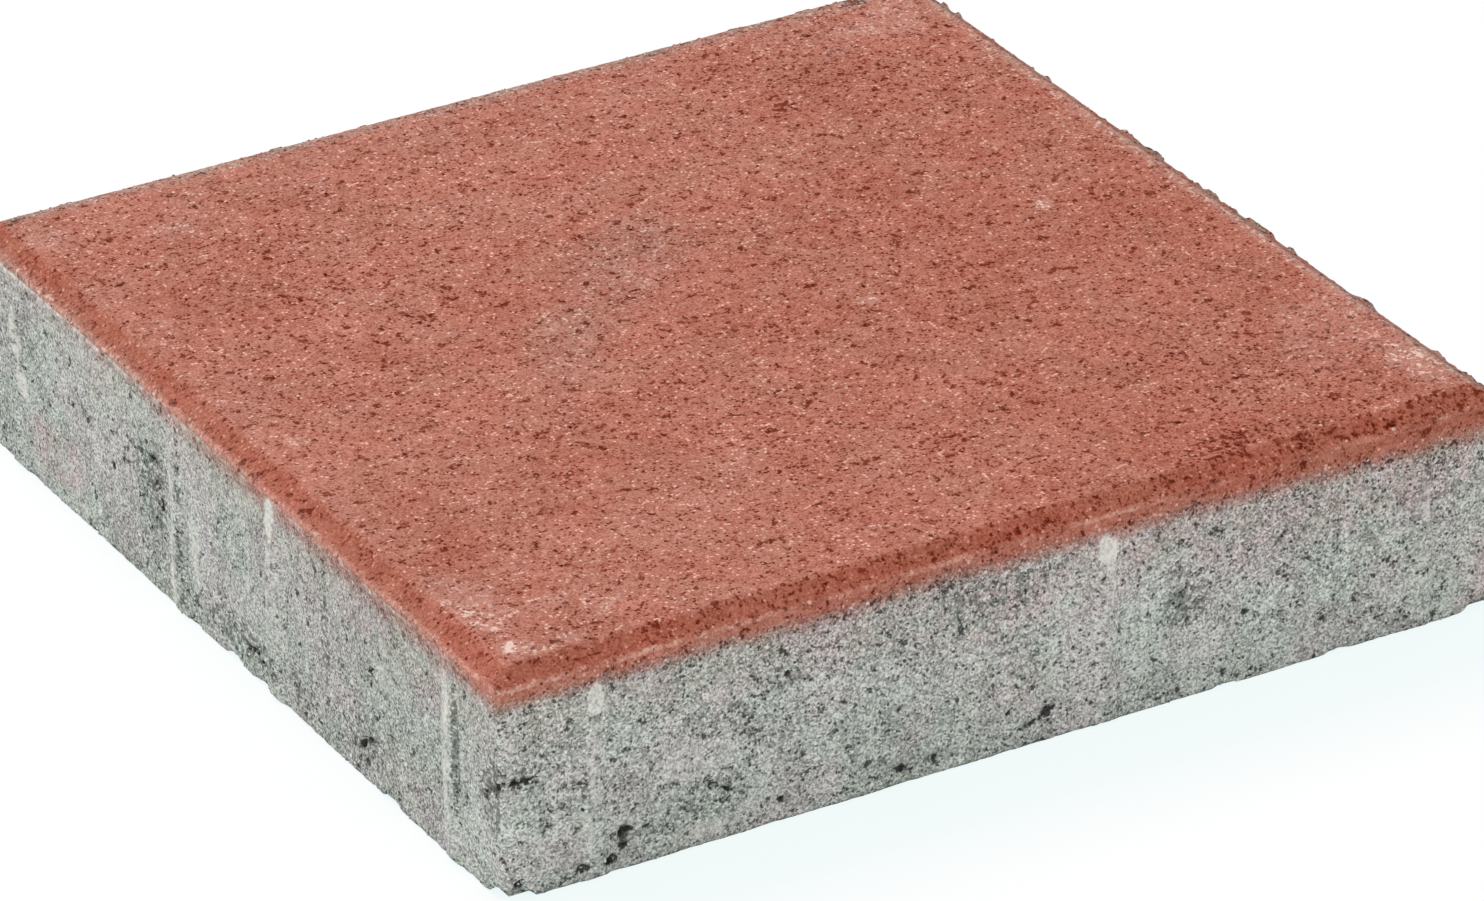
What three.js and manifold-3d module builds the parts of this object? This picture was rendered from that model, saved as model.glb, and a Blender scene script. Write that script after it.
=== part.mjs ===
// Square concrete paving stone, pressed from two concretes: a grey base with spacer nibs on its
// sides, and a thin pigmented facing with a chamfered edge. Millimetres, +Z up. The origin is the
// centre of the underside.
import * as THREE from 'three';
import { mergeVertices } from 'three/addons/utils/BufferGeometryUtils.js';
import Module from 'manifold-3d';

const wasm = await Module();
wasm.setup();

// Driving dimensions.
const SIDE = 278; // length of each side, between the flat side faces
const THICKNESS = 60; // underside to walking surface
const FACING_DEPTH = 9; // thickness of the pigmented facing
const CORNER_RADIUS = 2; // upright corners, left by the mould
const CHAMFER_WIDTH = 6.1; // chamfer seen from above
const CHAMFER_DROP = 4.1; // height that the chamfer takes off the side
const FOOT_BREAK = 0.8; // small 45-degree break round the underside

const NIB_WIDTH = 7.4; // chord of the half-round spacer nib on the side face
const NIB_PROUD = 1.3; // how far its crown stands out
const NIB_HEADROOM = 1; // from the nib's tip up to the facing
const NIB_TIP_LENGTH = 9; // height of the slanted tip
const NIB_CORNER_INSET = 24.5; // outer nibs, from each corner of the side
const NIB_MIDDLE_OFFSET = 25; // inner nib, from the middle of the side

const BASE_COLOR = 0x9b9e97;
const FACE_COLOR = 0xb57466;

const halfSide = SIDE / 2;
const facingBottom = THICKNESS - FACING_DEPTH;
const nibTop = facingBottom - NIB_HEADROOM;
const cutMargin = 10; // how far a cutting tool reaches past what it cuts

// A closed three.js geometry as a solid for joining and cutting.
function solidOf(geometry) {
  const bare = new THREE.BufferGeometry();
  bare.setAttribute('position', geometry.getAttribute('position'));
  if (geometry.index) bare.setIndex(geometry.index);
  const merged = mergeVertices(bare, 1e-4);
  return new wasm.Manifold(new wasm.Mesh({
    numProp: 3,
    vertProperties: new Float32Array(merged.getAttribute('position').array),
    triVerts: new Uint32Array(merged.index.array),
  }));
}

// A solid as a named three.js mesh.
function meshOf(name, solid, color) {
  const { vertProperties, triVerts } = solid.getMesh();
  const geometry = new THREE.BufferGeometry();
  geometry.setAttribute('position', new THREE.BufferAttribute(vertProperties, 3));
  geometry.setIndex(new THREE.BufferAttribute(triVerts, 1));
  geometry.computeVertexNormals();
  const material = new THREE.MeshStandardMaterial({
    color, roughness: 0.95, metalness: 0, flatShading: true,
  });
  const mesh = new THREE.Mesh(geometry, material);
  mesh.name = name;
  return mesh;
}

// The mould's plan: a square whose upright corners have a small radius.
function mouldPlan() {
  const plan = new THREE.Shape();
  const straight = halfSide - CORNER_RADIUS;
  for (let corner = 0; corner < 4; corner += 1) {
    const start = -Math.PI / 2 + (corner * Math.PI) / 2;
    const x = corner === 0 || corner === 1 ? straight : -straight;
    const y = corner === 1 || corner === 2 ? straight : -straight;
    plan.absarc(x, y, CORNER_RADIUS, start, start + Math.PI / 2, false);
  }
  return plan;
}

// A square pyramid stump on the stone's axis, with its sloped sides at the given half widths.
function squareStump(halfBottom, zBottom, halfTop, zTop) {
  const toCorner = Math.SQRT2; // from a flat's distance to a corner's
  const stump = new THREE.CylinderGeometry(
    halfTop * toCorner, halfBottom * toCorner, zTop - zBottom, 4, 1, false, Math.PI / 4);
  stump.rotateX(Math.PI / 2);
  stump.translate(0, 0, (zBottom + zTop) / 2);
  return solidOf(stump);
}

// The press shoe leaves the chamfer: everything outside these four slopes is pressed away.
function insideChamfer() {
  const slope = CHAMFER_WIDTH / CHAMFER_DROP; // run for each millimetre of drop
  const zLow = -cutMargin;
  const halfTop = halfSide - CHAMFER_WIDTH;
  return squareStump(halfTop + slope * (THICKNESS - zLow), zLow, halfTop, THICKNESS);
}

// The broken edge round the underside, at 45 degrees.
function insideFootBreak() {
  const zHigh = THICKNESS + cutMargin;
  const halfBottom = halfSide - FOOT_BREAK;
  return squareStump(halfBottom, 0, halfBottom + zHigh, zHigh);
}

// The whole stone without its nibs.
function stoneBody() {
  const block = new THREE.ExtrudeGeometry(mouldPlan(), {
    depth: THICKNESS, bevelEnabled: false, curveSegments: 6,
  });
  return solidOf(block).intersect(insideChamfer()).intersect(insideFootBreak());
}

// One spacer nib at the origin: a half-round rib that stands on the plane y = 0 and points along
// -Y, from the underside up to nibTop, with a slanted tip.
function spacerNib() {
  const rootDepth = 2; // how far it runs into the side face
  const halfChord = NIB_WIDTH / 2;
  const radius = (halfChord ** 2 + NIB_PROUD ** 2) / (2 * NIB_PROUD);
  const halfAngle = Math.asin(halfChord / radius);
  const section = new THREE.Shape();
  section.moveTo(halfChord, rootDepth);
  section.lineTo(-halfChord, rootDepth);
  section.absarc(0, radius - NIB_PROUD, radius, -Math.PI / 2 - halfAngle, -Math.PI / 2 + halfAngle, false);
  const rib = new THREE.ExtrudeGeometry(section, {
    depth: nibTop, bevelEnabled: false, curveSegments: 10,
  });

  // Seen from the side: upright crown, then the slant back to the face at the tip.
  const outline = new THREE.Shape();
  outline.moveTo(rootDepth, 0);
  outline.lineTo(-NIB_PROUD, 0);
  outline.lineTo(-NIB_PROUD, nibTop - NIB_TIP_LENGTH);
  outline.lineTo(0, nibTop);
  outline.lineTo(rootDepth, nibTop);
  const slant = new THREE.ExtrudeGeometry(outline, { depth: 2 * NIB_WIDTH, bevelEnabled: false });
  slant.translate(0, 0, -NIB_WIDTH);
  slant.rotateY(Math.PI / 2);
  slant.rotateX(Math.PI / 2);
  return solidOf(rib).intersect(solidOf(slant));
}

// Where each side carries its nibs, as distances from the middle of the side. Seen from above, the
// sides follow each other anticlockwise, from the one that faces -Y.
function nibPlaces(side) {
  const outer = halfSide - NIB_CORNER_INSET;
  const places = [-outer, NIB_MIDDLE_OFFSET, outer];
  const sideWithFourNibs = 3; // the side that faces -X
  if (side === sideWithFourNibs) places.push(-NIB_MIDDLE_OFFSET);
  return places;
}

// All nibs, on all four sides.
function spacerNibs() {
  const nibs = [];
  for (let side = 0; side < 4; side += 1) {
    for (const along of nibPlaces(side)) {
      nibs.push(spacerNib().translate([along, -halfSide, 0]).rotate([0, 0, side * 90]));
    }
  }
  return nibs;
}

// Everything below the facing.
function belowFacing() {
  const reach = SIDE + 2 * cutMargin;
  const box = new THREE.BoxGeometry(reach, reach, facingBottom + cutMargin);
  box.translate(0, 0, (facingBottom - cutMargin) / 2);
  return solidOf(box);
}

const stone = stoneBody();
const base = spacerNibs().reduce((grown, nib) => grown.add(nib), stone.intersect(belowFacing()));
const facing = stone.subtract(belowFacing());

const pavingStone = new THREE.Group();
pavingStone.name = 'paving_stone';
pavingStone.add(meshOf('base_concrete', base, BASE_COLOR));
pavingStone.add(meshOf('face_concrete', facing, FACE_COLOR));

export default pavingStone;
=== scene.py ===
# %% [markdown]
# # A two-layer concrete paving stone
# The stone is a square slab, pressed from two concretes. The grey base is poured first, a thin red
# facing is spread on it, and a bevelled shoe presses both together, so they are one piece.
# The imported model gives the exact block. This script dresses it: sandy skins with voids and worn
# edges, loose-set sand grains, and two concrete finishes.

# %% Load the frame
import math

import bpy
import numpy as np
from mathutils import Matrix, Vector


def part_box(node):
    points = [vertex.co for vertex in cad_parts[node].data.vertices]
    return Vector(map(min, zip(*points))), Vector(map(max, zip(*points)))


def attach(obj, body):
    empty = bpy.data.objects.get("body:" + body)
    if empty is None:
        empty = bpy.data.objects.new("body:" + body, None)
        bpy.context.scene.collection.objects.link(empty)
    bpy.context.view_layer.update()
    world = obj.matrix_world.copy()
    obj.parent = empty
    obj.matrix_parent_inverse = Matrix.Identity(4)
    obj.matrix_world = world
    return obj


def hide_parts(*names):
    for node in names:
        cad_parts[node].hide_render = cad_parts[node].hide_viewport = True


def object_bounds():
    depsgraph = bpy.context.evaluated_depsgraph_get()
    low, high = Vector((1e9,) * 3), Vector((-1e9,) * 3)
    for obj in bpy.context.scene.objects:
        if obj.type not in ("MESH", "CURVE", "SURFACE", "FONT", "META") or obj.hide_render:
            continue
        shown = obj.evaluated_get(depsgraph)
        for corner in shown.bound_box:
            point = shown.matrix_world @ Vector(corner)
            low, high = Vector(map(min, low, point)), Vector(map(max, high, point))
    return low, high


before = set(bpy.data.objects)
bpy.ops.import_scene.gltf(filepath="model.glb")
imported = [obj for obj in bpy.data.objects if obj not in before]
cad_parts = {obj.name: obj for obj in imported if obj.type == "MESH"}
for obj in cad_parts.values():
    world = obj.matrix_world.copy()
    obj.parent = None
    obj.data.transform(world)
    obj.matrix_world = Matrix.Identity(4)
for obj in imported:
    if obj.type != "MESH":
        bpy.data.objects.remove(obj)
cad_low, cad_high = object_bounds()
MM = 0.001
print("block from the frame, mm:", [round(c / MM, 1) for c in (*cad_low, *cad_high)])

# %% [markdown]
# ## Sizes
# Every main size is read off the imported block. They could be typed in again, but sizes that are
# read can't drift from the block. The chamfer shows in the facing's vertices: the walking surface
# ends where the slope starts, and the upright side ends at the arris, the line where two faces meet.

# %% Read the block's sizes
NEAR = 0.01 * MM  # a point this near a plane lies on it

base_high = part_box("base_concrete")[1]
face_low, face_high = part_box("face_concrete")
face_points = np.array([v.co[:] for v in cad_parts["face_concrete"].data.vertices])
on_top = face_points[:, 2] > face_high.z - NEAR
on_side = face_points[:, 0] > face_high.x - NEAR

HALF = face_high.x
TOP = face_high.z
JOINT = face_low.z
NIB_PROUD = base_high.x - HALF
CHAMFER_WIDTH = HALF - face_points[on_top, 0].max()
ARRIS = face_points[on_side, 2].max()
CORNER_RADIUS = 2 * MM
print("half side", round(HALF / MM, 2), "top", round(TOP / MM, 2), "joint", round(JOINT / MM, 2))
print("chamfer", round(CHAMFER_WIDTH / MM, 2), "arris", round(ARRIS / MM, 2))

# %% [markdown]
# ## Camera
# A long lens from above one corner, a little rolled. A Track To constraint could aim it, but would
# leave no say over the roll, so the camera is placed by its direction from the point it looks at.

# %% Place the camera
LENS = 225.7
SENSOR_WIDTH = 36
VIEW_END = 50
AZIMUTH, ELEVATION, ROLL = math.radians(-29.497), math.radians(28.064), math.radians(-0.958)
DISTANCE = 2.3233
AIM = Vector((7.52, 4.16, 13.73)) * MM

back = Vector((
    math.sin(AZIMUTH) * math.cos(ELEVATION),
    -math.cos(AZIMUTH) * math.cos(ELEVATION),
    math.sin(ELEVATION),
))
level_right = Vector((math.cos(AZIMUTH), math.sin(AZIMUTH), 0))
level_up = back.cross(level_right)
right = level_right * math.cos(ROLL) + level_up * math.sin(ROLL)
up = back.cross(right)

camera = bpy.data.objects.new("camera", bpy.data.cameras.new("camera"))
bpy.context.scene.collection.objects.link(camera)
camera.data.lens = LENS
camera.data.sensor_width = SENSOR_WIDTH
camera.data.clip_end = VIEW_END
turn = Matrix((right, up, back)).transposed()
camera.matrix_world = Matrix.Translation(AIM + back * DISTANCE) @ turn.to_4x4()
bpy.context.scene.camera = camera
print("camera at", [round(c, 3) for c in camera.matrix_world.translation])

# %% [markdown]
# ## Lattice round the stone
# A cube with a bevel would give the block, but its edges couldn't follow lines that wander. So both
# skins are built row by row on one lattice of columns that runs round all four sides, and the grey
# and the red skin share their border exactly. A ring is a square with rounded corners: each point is
# pulled to the rounded corner by clamping it to an inner square and pushing it back out.

# %% Sides and columns
RIGHT, FAR_RIGHT, FAR_LEFT, LEFT = range(4)  # the sides, from the one right of the front corner
COLUMNS = 264  # lattice columns on each side
AROUND = 4 * COLUMNS
WAY_ROUND = 8 * HALF
SIDE_OUT = np.array([(0, -1), (1, 0), (0, 1), (-1, 0)], float)
SIDE_ALONG = np.array([(1, 0), (0, 1), (-1, 0), (0, -1)], float)

side_of = np.repeat(np.arange(4), COLUMNS)
step_of = np.tile(np.arange(COLUMNS) / COLUMNS, 4)
along = (2 * step_of - 1) * HALF  # distance from the middle of the side, at full size
on_left, on_right = side_of == LEFT, side_of == RIGHT
print("lattice of", AROUND, "columns,", round(2 * HALF / COLUMNS / MM, 2), "mm apart")


# %% Rings and ripples
def ring(inset, radius):
    """Plan positions and outward directions of one ring, inset from the side faces."""
    half = (HALF - np.broadcast_to(inset, AROUND))[:, None]
    plan = SIDE_OUT[side_of] * half + SIDE_ALONG[side_of] * half * (2 * step_of - 1)[:, None]
    core = np.clip(plan, radius - half, half - radius)
    out = plan - core
    out /= np.linalg.norm(out, axis=1)[:, None]
    return core + out * radius, out


def eased(part):
    """A share from 0 to 1, eased at both ends."""
    return part * part * (3 - 2 * part)


def fading(distance, width):
    """1 at no distance, and almost 0 from twice the width on."""
    return np.exp(-(distance / width) ** 2)


def ripple(spacing, seed):
    """Smooth random values round the stone, from -1 to 1, that close on themselves."""
    count = max(4, round(WAY_ROUND / spacing))
    values = np.random.default_rng(seed).uniform(-1, 1, count)
    where = (side_of + step_of) / 4 * count
    low = np.floor(where).astype(int)
    part = eased(where - low)
    return values[low % count] * (1 - part) + values[(low + 1) % count] * part


def gaining(start, gain, part):
    """A value that grows from its start by the gain as the part goes from 0 to 1."""
    return start + gain * part


def rippled(level, ripples):
    """A level with ripples added to it, each with a spacing, a reach and a seed."""
    for spacing, reach, seed in ripples:
        level = level + reach * ripple(spacing, seed)
    return level


print("way round the stone", round(WAY_ROUND / MM), "mm")

# %% [markdown]
# ## Shell builder
# A shell gathers points, faces and per-point notes. The notes become mesh attributes, which the
# relief and the finishes read: how much of the red concrete is there, how rough the press left
# it, how worn, stained or bloomed it is, and where shade, highlights and sheen are painted into its
# colour. Weight painting could say the same, but a note that is worked out comes out alike every time.

# %% Collect points and faces
NOTES = ("red_share", "relief", "edge", "chamfer", "void", "pale", "stain", "smudge")
FAN_REACH = 3 * MM  # room for a fan inside its border
UP, DOWN = 1, -1


class Shell:
    def __init__(self):
        self.places = []
        self.outs = []
        self.notes = {name: [] for name in NOTES}
        self.faces = []
        self.sharp = set()
        self.count = 0

    def add(self, places, outs, **notes):
        """Adds points and returns their numbers."""
        size = len(places)
        self.places.append(places)
        self.outs.append(np.broadcast_to(outs, (size, 3)))
        for name in NOTES:
            self.notes[name].append(np.broadcast_to(notes.get(name, 0.0), size))
        numbers = np.arange(self.count, self.count + size)
        self.count += size
        return numbers

    def add_ring(self, inset, height, radius, lift=0.0, **notes):
        """Adds a ring whose outward directions tip up by lift, from 0 level to 1 straight up."""
        plan, out = ring(inset, radius)
        places = np.column_stack((plan, np.broadcast_to(height, AROUND)))
        outs = np.column_stack((out * (1 - lift), np.full(AROUND, lift)))
        outs /= np.linalg.norm(outs, axis=1)[:, None]
        return self.add(places, outs, **notes)

    def bridge(self, rows):
        """Quads between rings that follow each other, facing out where they climb."""
        for low, high in zip(rows, rows[1:]):
            self.faces += zip(low, np.roll(low, -1), np.roll(high, -1), high)

    def fill(self, border, cells, level, way, **notes):
        """Closes a square hole with a level grid, facing up or down. A fan joins a coarser grid."""
        share, steps = COLUMNS // cells, range(cells)
        walk = [(i, 0) for i in steps] + [(cells, i) for i in steps]
        walk += [(cells - i, cells) for i in steps] + [(0, cells - i) for i in steps]
        reach = np.abs(self.all_places()[border][:, :2]).max() - (FAN_REACH if share > 1 else 0)
        spots = (2 * np.arange(cells + 1) / cells - 1) * reach
        fresh = [(i, j) for i in range(cells + 1) for j in range(cells + 1)
                 if share > 1 or (0 < i < cells and 0 < j < cells)]
        where = np.array([(spots[i], spots[j], level) for i, j in fresh])
        grid = np.full((cells + 1, cells + 1), -1)
        grid[tuple(zip(*fresh))] = self.add(where, (0, 0, way), **notes)
        if share > 1:
            self.fan(border, [grid[spot] for spot in walk], share, way)
        else:
            grid[tuple(zip(*walk))] = border
        corners = grid[:-1, :-1], grid[1:, :-1], grid[1:, 1:], grid[:-1, 1:]
        quads = zip(*(corner.ravel() for corner in corners))
        self.faces += [quad[::way] for quad in quads]

    def fan(self, fine, coarse, share, way):
        """Joins a fine ring outside to a coarse ring inside, share fine steps to a coarse one."""
        middle = share // 2
        for k, inner in enumerate(coarse):
            following = coarse[(k + 1) % len(coarse)]
            steps = [fine[(k * share + m) % len(fine)] for m in range(share + 1)]
            triangles = [(steps[m], steps[m + 1], inner if m < middle else following)
                         for m in range(share)]
            triangles.append((steps[middle], following, inner))
            self.faces += [triangle[::way] for triangle in triangles]

    def all_places(self):
        return np.concatenate(self.places)

    def set_note(self, name, values, where):
        """Writes a note again on some of the points."""
        whole = np.concatenate(self.notes[name]).astype(float)
        whole[where] = values[where]
        self.notes[name] = [whole]

    def mesh(self, name):
        """The shell as a Blender mesh, with its notes as attributes and its border edges sharp."""
        data = bpy.data.meshes.new(name)
        data.from_pydata(self.all_places().tolist(), [], [tuple(map(int, f)) for f in self.faces])
        data.polygons.foreach_set("use_smooth", [True] * len(data.polygons))
        for note, parts in self.notes.items():
            layer = data.attributes.new(note, "FLOAT", "POINT")
            layer.data.foreach_set("value", np.concatenate(parts).astype(np.float32))
        layer = data.attributes.new("outward", "FLOAT_VECTOR", "POINT")
        layer.data.foreach_set("vector", np.concatenate(self.outs).astype(np.float32).ravel())
        ends = np.zeros(2 * len(data.edges), int)
        data.edges.foreach_get("vertices", ends)
        on_border = np.zeros(self.count, bool)
        on_border[list(self.sharp)] = True
        data.edges.foreach_set("use_edge_sharp", on_border[ends.reshape(-1, 2)].all(axis=1))
        return data


print("notes on each point:", ", ".join(NOTES))

# %% [markdown]
# ## Marks on the sides
# A pressed stone is never clean. The fill bridges and leaves voids on the sides, the lower edge
# crumbles where it leaves the pallet, and damp soaks up from the yard. On the nibs the press rubs the
# slanted tip pale, and the tip also carries a painted highlight; one flank of some nibs gets a
# painted highlight, and a few nibs get painted shade on the other flank. A brush could paint all
# that, but a list can be read and changed line by line. Each mark is a soft ellipse on one side: its
# place along the side and its height, half its length and half its rise, all in millimetres, how
# strong or deep it is, and any turn in degrees.

# %% Voids and chips
VOIDS = {RIGHT: (
    (3.8, 5.6, 3.6, 1.4, 2.4, 14), (8.8, 8, 3, 1.9, 2.3, 30), (-106.8, 8.2, 2.2, 4.4, 2.6, -12),
    (-104.6, 8.8, 2.4, 1.4, 1.8), (-109.8, 3.8, 2.4, 2, 2, 30), (-1.4, 10.4, 2.2, 1.4, 1.5, 20),
    (-135.5, 31.2, 6.8, 1.4, 1.9, -8), (-132.5, 34, 1.3, 3, 1.1), (-117.5, 3.5, 2.6, 1.9, 1.6, 15),
    (-134, 4, 2.4, 1.8, 1.6), (-91, 20.6, 1.8, 1.6, 1.3), (-81.5, 14.5, 5.2, 1.4, 1.8, -32),
    (-61, 38.3, 4.4, 1.4, 0.9, -24), (-50, 19.4, 3.2, 1.3, 1.3, 10), (-31, 4.2, 6, 1.3, 0.8, -6),
    (-22.5, 5.1, 3.4, 1.2, 0.7, 10), (-64.5, 5.1, 1.8, 1.8, 1.3), (-17, 3.6, 2, 1.3, 1.2),
    (46, 29, 1.5, 1.4, 1.2), (49.2, 26, 1.6, 1.3, 1.2, 20), (45.5, 23.2, 1.5, 1.3, 1.1),
    (48.5, 31.8, 1.3, 1.3, 1), (64.7, 19, 1.5, 2, 1.6), (76, 29.2, 1.8, 1.3, 0.9),
    (88, 10.8, 4.6, 1.4, 1.8, 14), (68, 2.6, 2.4, 1.4, 1.4), (116.6, 16, 1.5, 2.2, 1),
    (112.8, 1.8, 1.9, 1.3, 1.1), (115.8, 41.3, 1.4, 1.7, 1), (35, 37, 1.6, 1.4, 0.9),
), LEFT: (
    (74, 11.9, 4.2, 1.6, 2.3, 20), (70.4, 9.8, 2.4, 1.7, 1.8, 30), (72.2, 6.2, 1.3, 2.8, 1.7),
    (66.8, 7.4, 3.4, 1.3, 1.6, 28), (70, 19.5, 1.8, 1.4, 1), (-38, 37, 3.4, 1.8, 0.85, 10),
    (-36, 31, 3.4, 2.4, 0.9), (-41, 28, 2.6, 1.9, 0.8), (-34, 26, 1.8, 2.8, 0.8),
    (-40, 21, 2.4, 1.6, 0.75), (-44, 36, 2.2, 1.7, 0.75), (-40.5, 9.5, 2.6, 1.8, 0.9),
    (-60.8, 24.7, 1.8, 1.4, 1.7), (-2.6, 36, 1.8, 1.4, 1.4, 25), (-4, 15, 4.6, 1.4, 1.2, 10),
    (12.8, 7.8, 5, 1.5, 1.5, 8), (18.5, 6.4, 2.2, 1.4, 1.2), (31, 22.5, 1.6, 1.4, 1),
    (58, 36, 2.2, 1.7, 0.9), (75.3, 30, 1.3, 5.5, 1.1), (96.5, 15.4, 1.7, 1.4, 1.2),
    (137, 30.2, 6.5, 1.6, 1.7, 28), (86, 4.8, 2.6, 1.3, 1.1, 20), (-108, 10.5, 1.2, 4.4, 0.8),
)}

# Where the lower edge has crumbled: place along the side, half length, lift
FOOT_CHIPS = {RIGHT: (
    (-139, 9, 2), (60, 4, 0.3), (92, 4, 0.4), (135, 7, 1.6),
), LEFT: (
    (84, 5, 0.5), (18, 5, 0.4), (2.3, 5, 0.8), (139, 8, 2),
)}
print(sum(map(len, VOIDS.values())), "voids,", sum(map(len, FOOT_CHIPS.values())), "chips")

# %% Damp, scuffs and blush, with painted shade and painted highlights on the nibs
DAMP_AND_SHADE_SIDES = {RIGHT: (
    (47, 26, 8, 6, 0.6), (5, 8, 9, 5, 0.15), (-84, 12, 13, 6, 0.45), (-30, 4, 18, 3, 0.15),
    (-128, 5, 12, 4, 0.25), (66, 16, 7, 7, 0.3), (-62, 38, 8, 5, 0.4), (-128, 33, 12, 4, 0.4),
    (90, 10, 8, 4, 0.3), (-122, 26, 13, 12, 0.36), (-80, 34, 13, 6, 0.34), (80, 34, 52, 6, 0.34),
    (2, 29, 15, 11, 0.36), (-3, 45, 19, 6, 0.45), (-100, 8, 5, 4, 0.4), (122, 38, 12, 9, 0.4),
    (120, 16, 6, 5, 0.35), (52, 44, 14, 5, 0.25), (-95, 44, 12, 5, 0.25),
), LEFT: (
    (-38, 29, 13, 14, 0.52), (-46, 36, 10, 7, 0.4), (5, 8, 30, 6, 0.5), (72, 12, 10, 8, 0.42),
    (-120, 34, 12, 7, 0.36), (-122, 9, 12, 6, 0.36), (40, 10, 12, 5, 0.4), (2, 35, 11, 6, 0.33),
    # The first two marks on the next line are painted shade: thin dark strips on the shaded flank of a
    # nib
    (-23.4, 28, 1.6, 28, 0.5), (117.8, 33, 1.7, 20, 0.65), (52.5, 28, 2.4, 22, 0.5),
    (136, 28, 7, 9, 0.6), (-80, 30, 16, 10, 0.25), (22, 38, 4, 10, 0.3),
)}

# Scuffs and streaks of lime, and painted highlights on the nibs: each nib tip is partly a scuff and
# partly a painted highlight, and the long pale marks on one flank of a nib are painted highlights. The
# nibs of the far sides are all marked alike
PALE_AND_LIT_SIDES = {RIGHT: (
    (-113.4, 47.6, 2.6, 5.6, 1.35), (-114, 30, 2.6, 18, 0.5), (-115, 15, 5, 8, 0.3),
    (25.6, 47.2, 3.4, 5.2, 1.3), (26.2, 38, 2.2, 12, 0.5), (115, 34, 1.8, 10, 0.5),
    (-87, 4, 10, 4, 0.42), (-85, 23, 14, 6, 0.35), (-106, 13, 6, 3, 0.25),
), LEFT: (
    (-112.8, 38, 1.6, 12, 0.85, 5), (-110.4, 24.8, 2.2, 5.6, 1.05, 20), (-27.6, 24, 3.8, 32, 0.55),
    (-28, 6, 4, 12, 0.8), (-16.5, 22, 4, 18, 0.5), (24.8, 51, 3.4, 9, 0.9), (25.4, 42, 3, 11, 0.45),
    (25, 28, 7, 20, 0.35), (113.4, 25, 3.8, 30, 0.5), (113.8, 42, 2.6, 10, 0.7), (85, 36, 14, 9, 0.35),
    (-124, 46, 14, 9, 0.3), (-90, 13, 11, 6, 0.3), (-80, 3, 10, 4, 0.3),
)}
for side in (FAR_RIGHT, FAR_LEFT):
    PALE_AND_LIT_SIDES[side] = [(where, 46, 2, 5, 0.9) for where in (-116, 25, 116)]

# A faint blush of pigment, washed or smeared down from the facing
BLUSH_SIDES = {RIGHT: (
    (-70, 48, 95, 6, 0.5), (70, 46, 95, 7, 0.8), (-130, 45, 16, 7, 0.7), (-84, 43, 24, 6, 0.7),
    (-45, 42, 26, 6, 0.8), (0, 39, 34, 9, 0.9), (66, 39, 26, 9, 0.8), (112, 40, 38, 8, 1),
    (134, 10, 10, 14, 0.8), (0, 20, 16, 12, 0.4), (120, 26, 26, 14, 0.5),
), LEFT: (
    (-93, 13, 15, 8, 1.5), (-64, 44, 12, 8, 0.5), (88, 11, 16, 12, 0.5), (105, 46, 45, 8, 0.6),
    (30, 48, 45, 6, 0.4), (60, 24, 14, 12, 0.25),
)}
print(sum(map(len, DAMP_AND_SHADE_SIDES.values())), "damp patches")

# %% [markdown]
# ## Marks on the walking face
# Lime blooms pale near the corners. Along the far brow, the line where the chamfer meets the face,
# run a pale painted highlight and a greyish painted sheen. Dark spots and clumps of sand show in
# between, a greyish smear crosses the middle, and the shoe slicked some patches. A mark here has x,
# y, half sizes, strength and any turn.

# %% Bloom, dark spots, smears, slick patches, and the painted highlight and sheen of the far brow
BLOOM_AND_HIGHLIGHT_TOP = (
    (-127.6, -127.2, 4, 3.4, 1.3), (-128, -110, 4.5, 11, 0.85, 8), (-123, -131, 5, 1.3, 0.8, -15),
    (-126.5, -100, 7, 18, 0.5, 12), (-111, -111.5, 5, 4, 0.5), (-99, -120, 7, 1.4, 0.8, 30),
    (-114, -129, 4, 2.4, 0.7), (128, -115, 6, 14, 0.9), (124, -98, 6, 9, 0.6, -10),
    (118, -84, 8, 9, 0.5), (128, -86, 4, 14, 0.6), (110, -100, 9, 12, 0.42),
    (112, 114, 14, 6, 0.5, -15), (96, 108, 5, 3, 0.5), (121, 122, 7, 5, 0.6), (-98, 106.5, 6, 5, 0.5),
    (31, -19, 2.8, 2.2, 0.9), (-127, 118, 6, 10, 0.5), (95, 3, 2.6, 2.4, 1.1), (-124, -11, 3, 3, 0.6),
    # The last two marks on the next line are painted highlights: pale strips along the far brow
    (102, 40, 3, 2, 0.5), (0, 129, 160, 4, 0.25), (132.5, 0, 2.6, 160, 0.65),
    (108.2, 127.4, 3.2, 1.6, 0.9), (-126, 0, 8, 140, 0.12), (-20, 122, 140, 14, 0.12),
)

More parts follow.
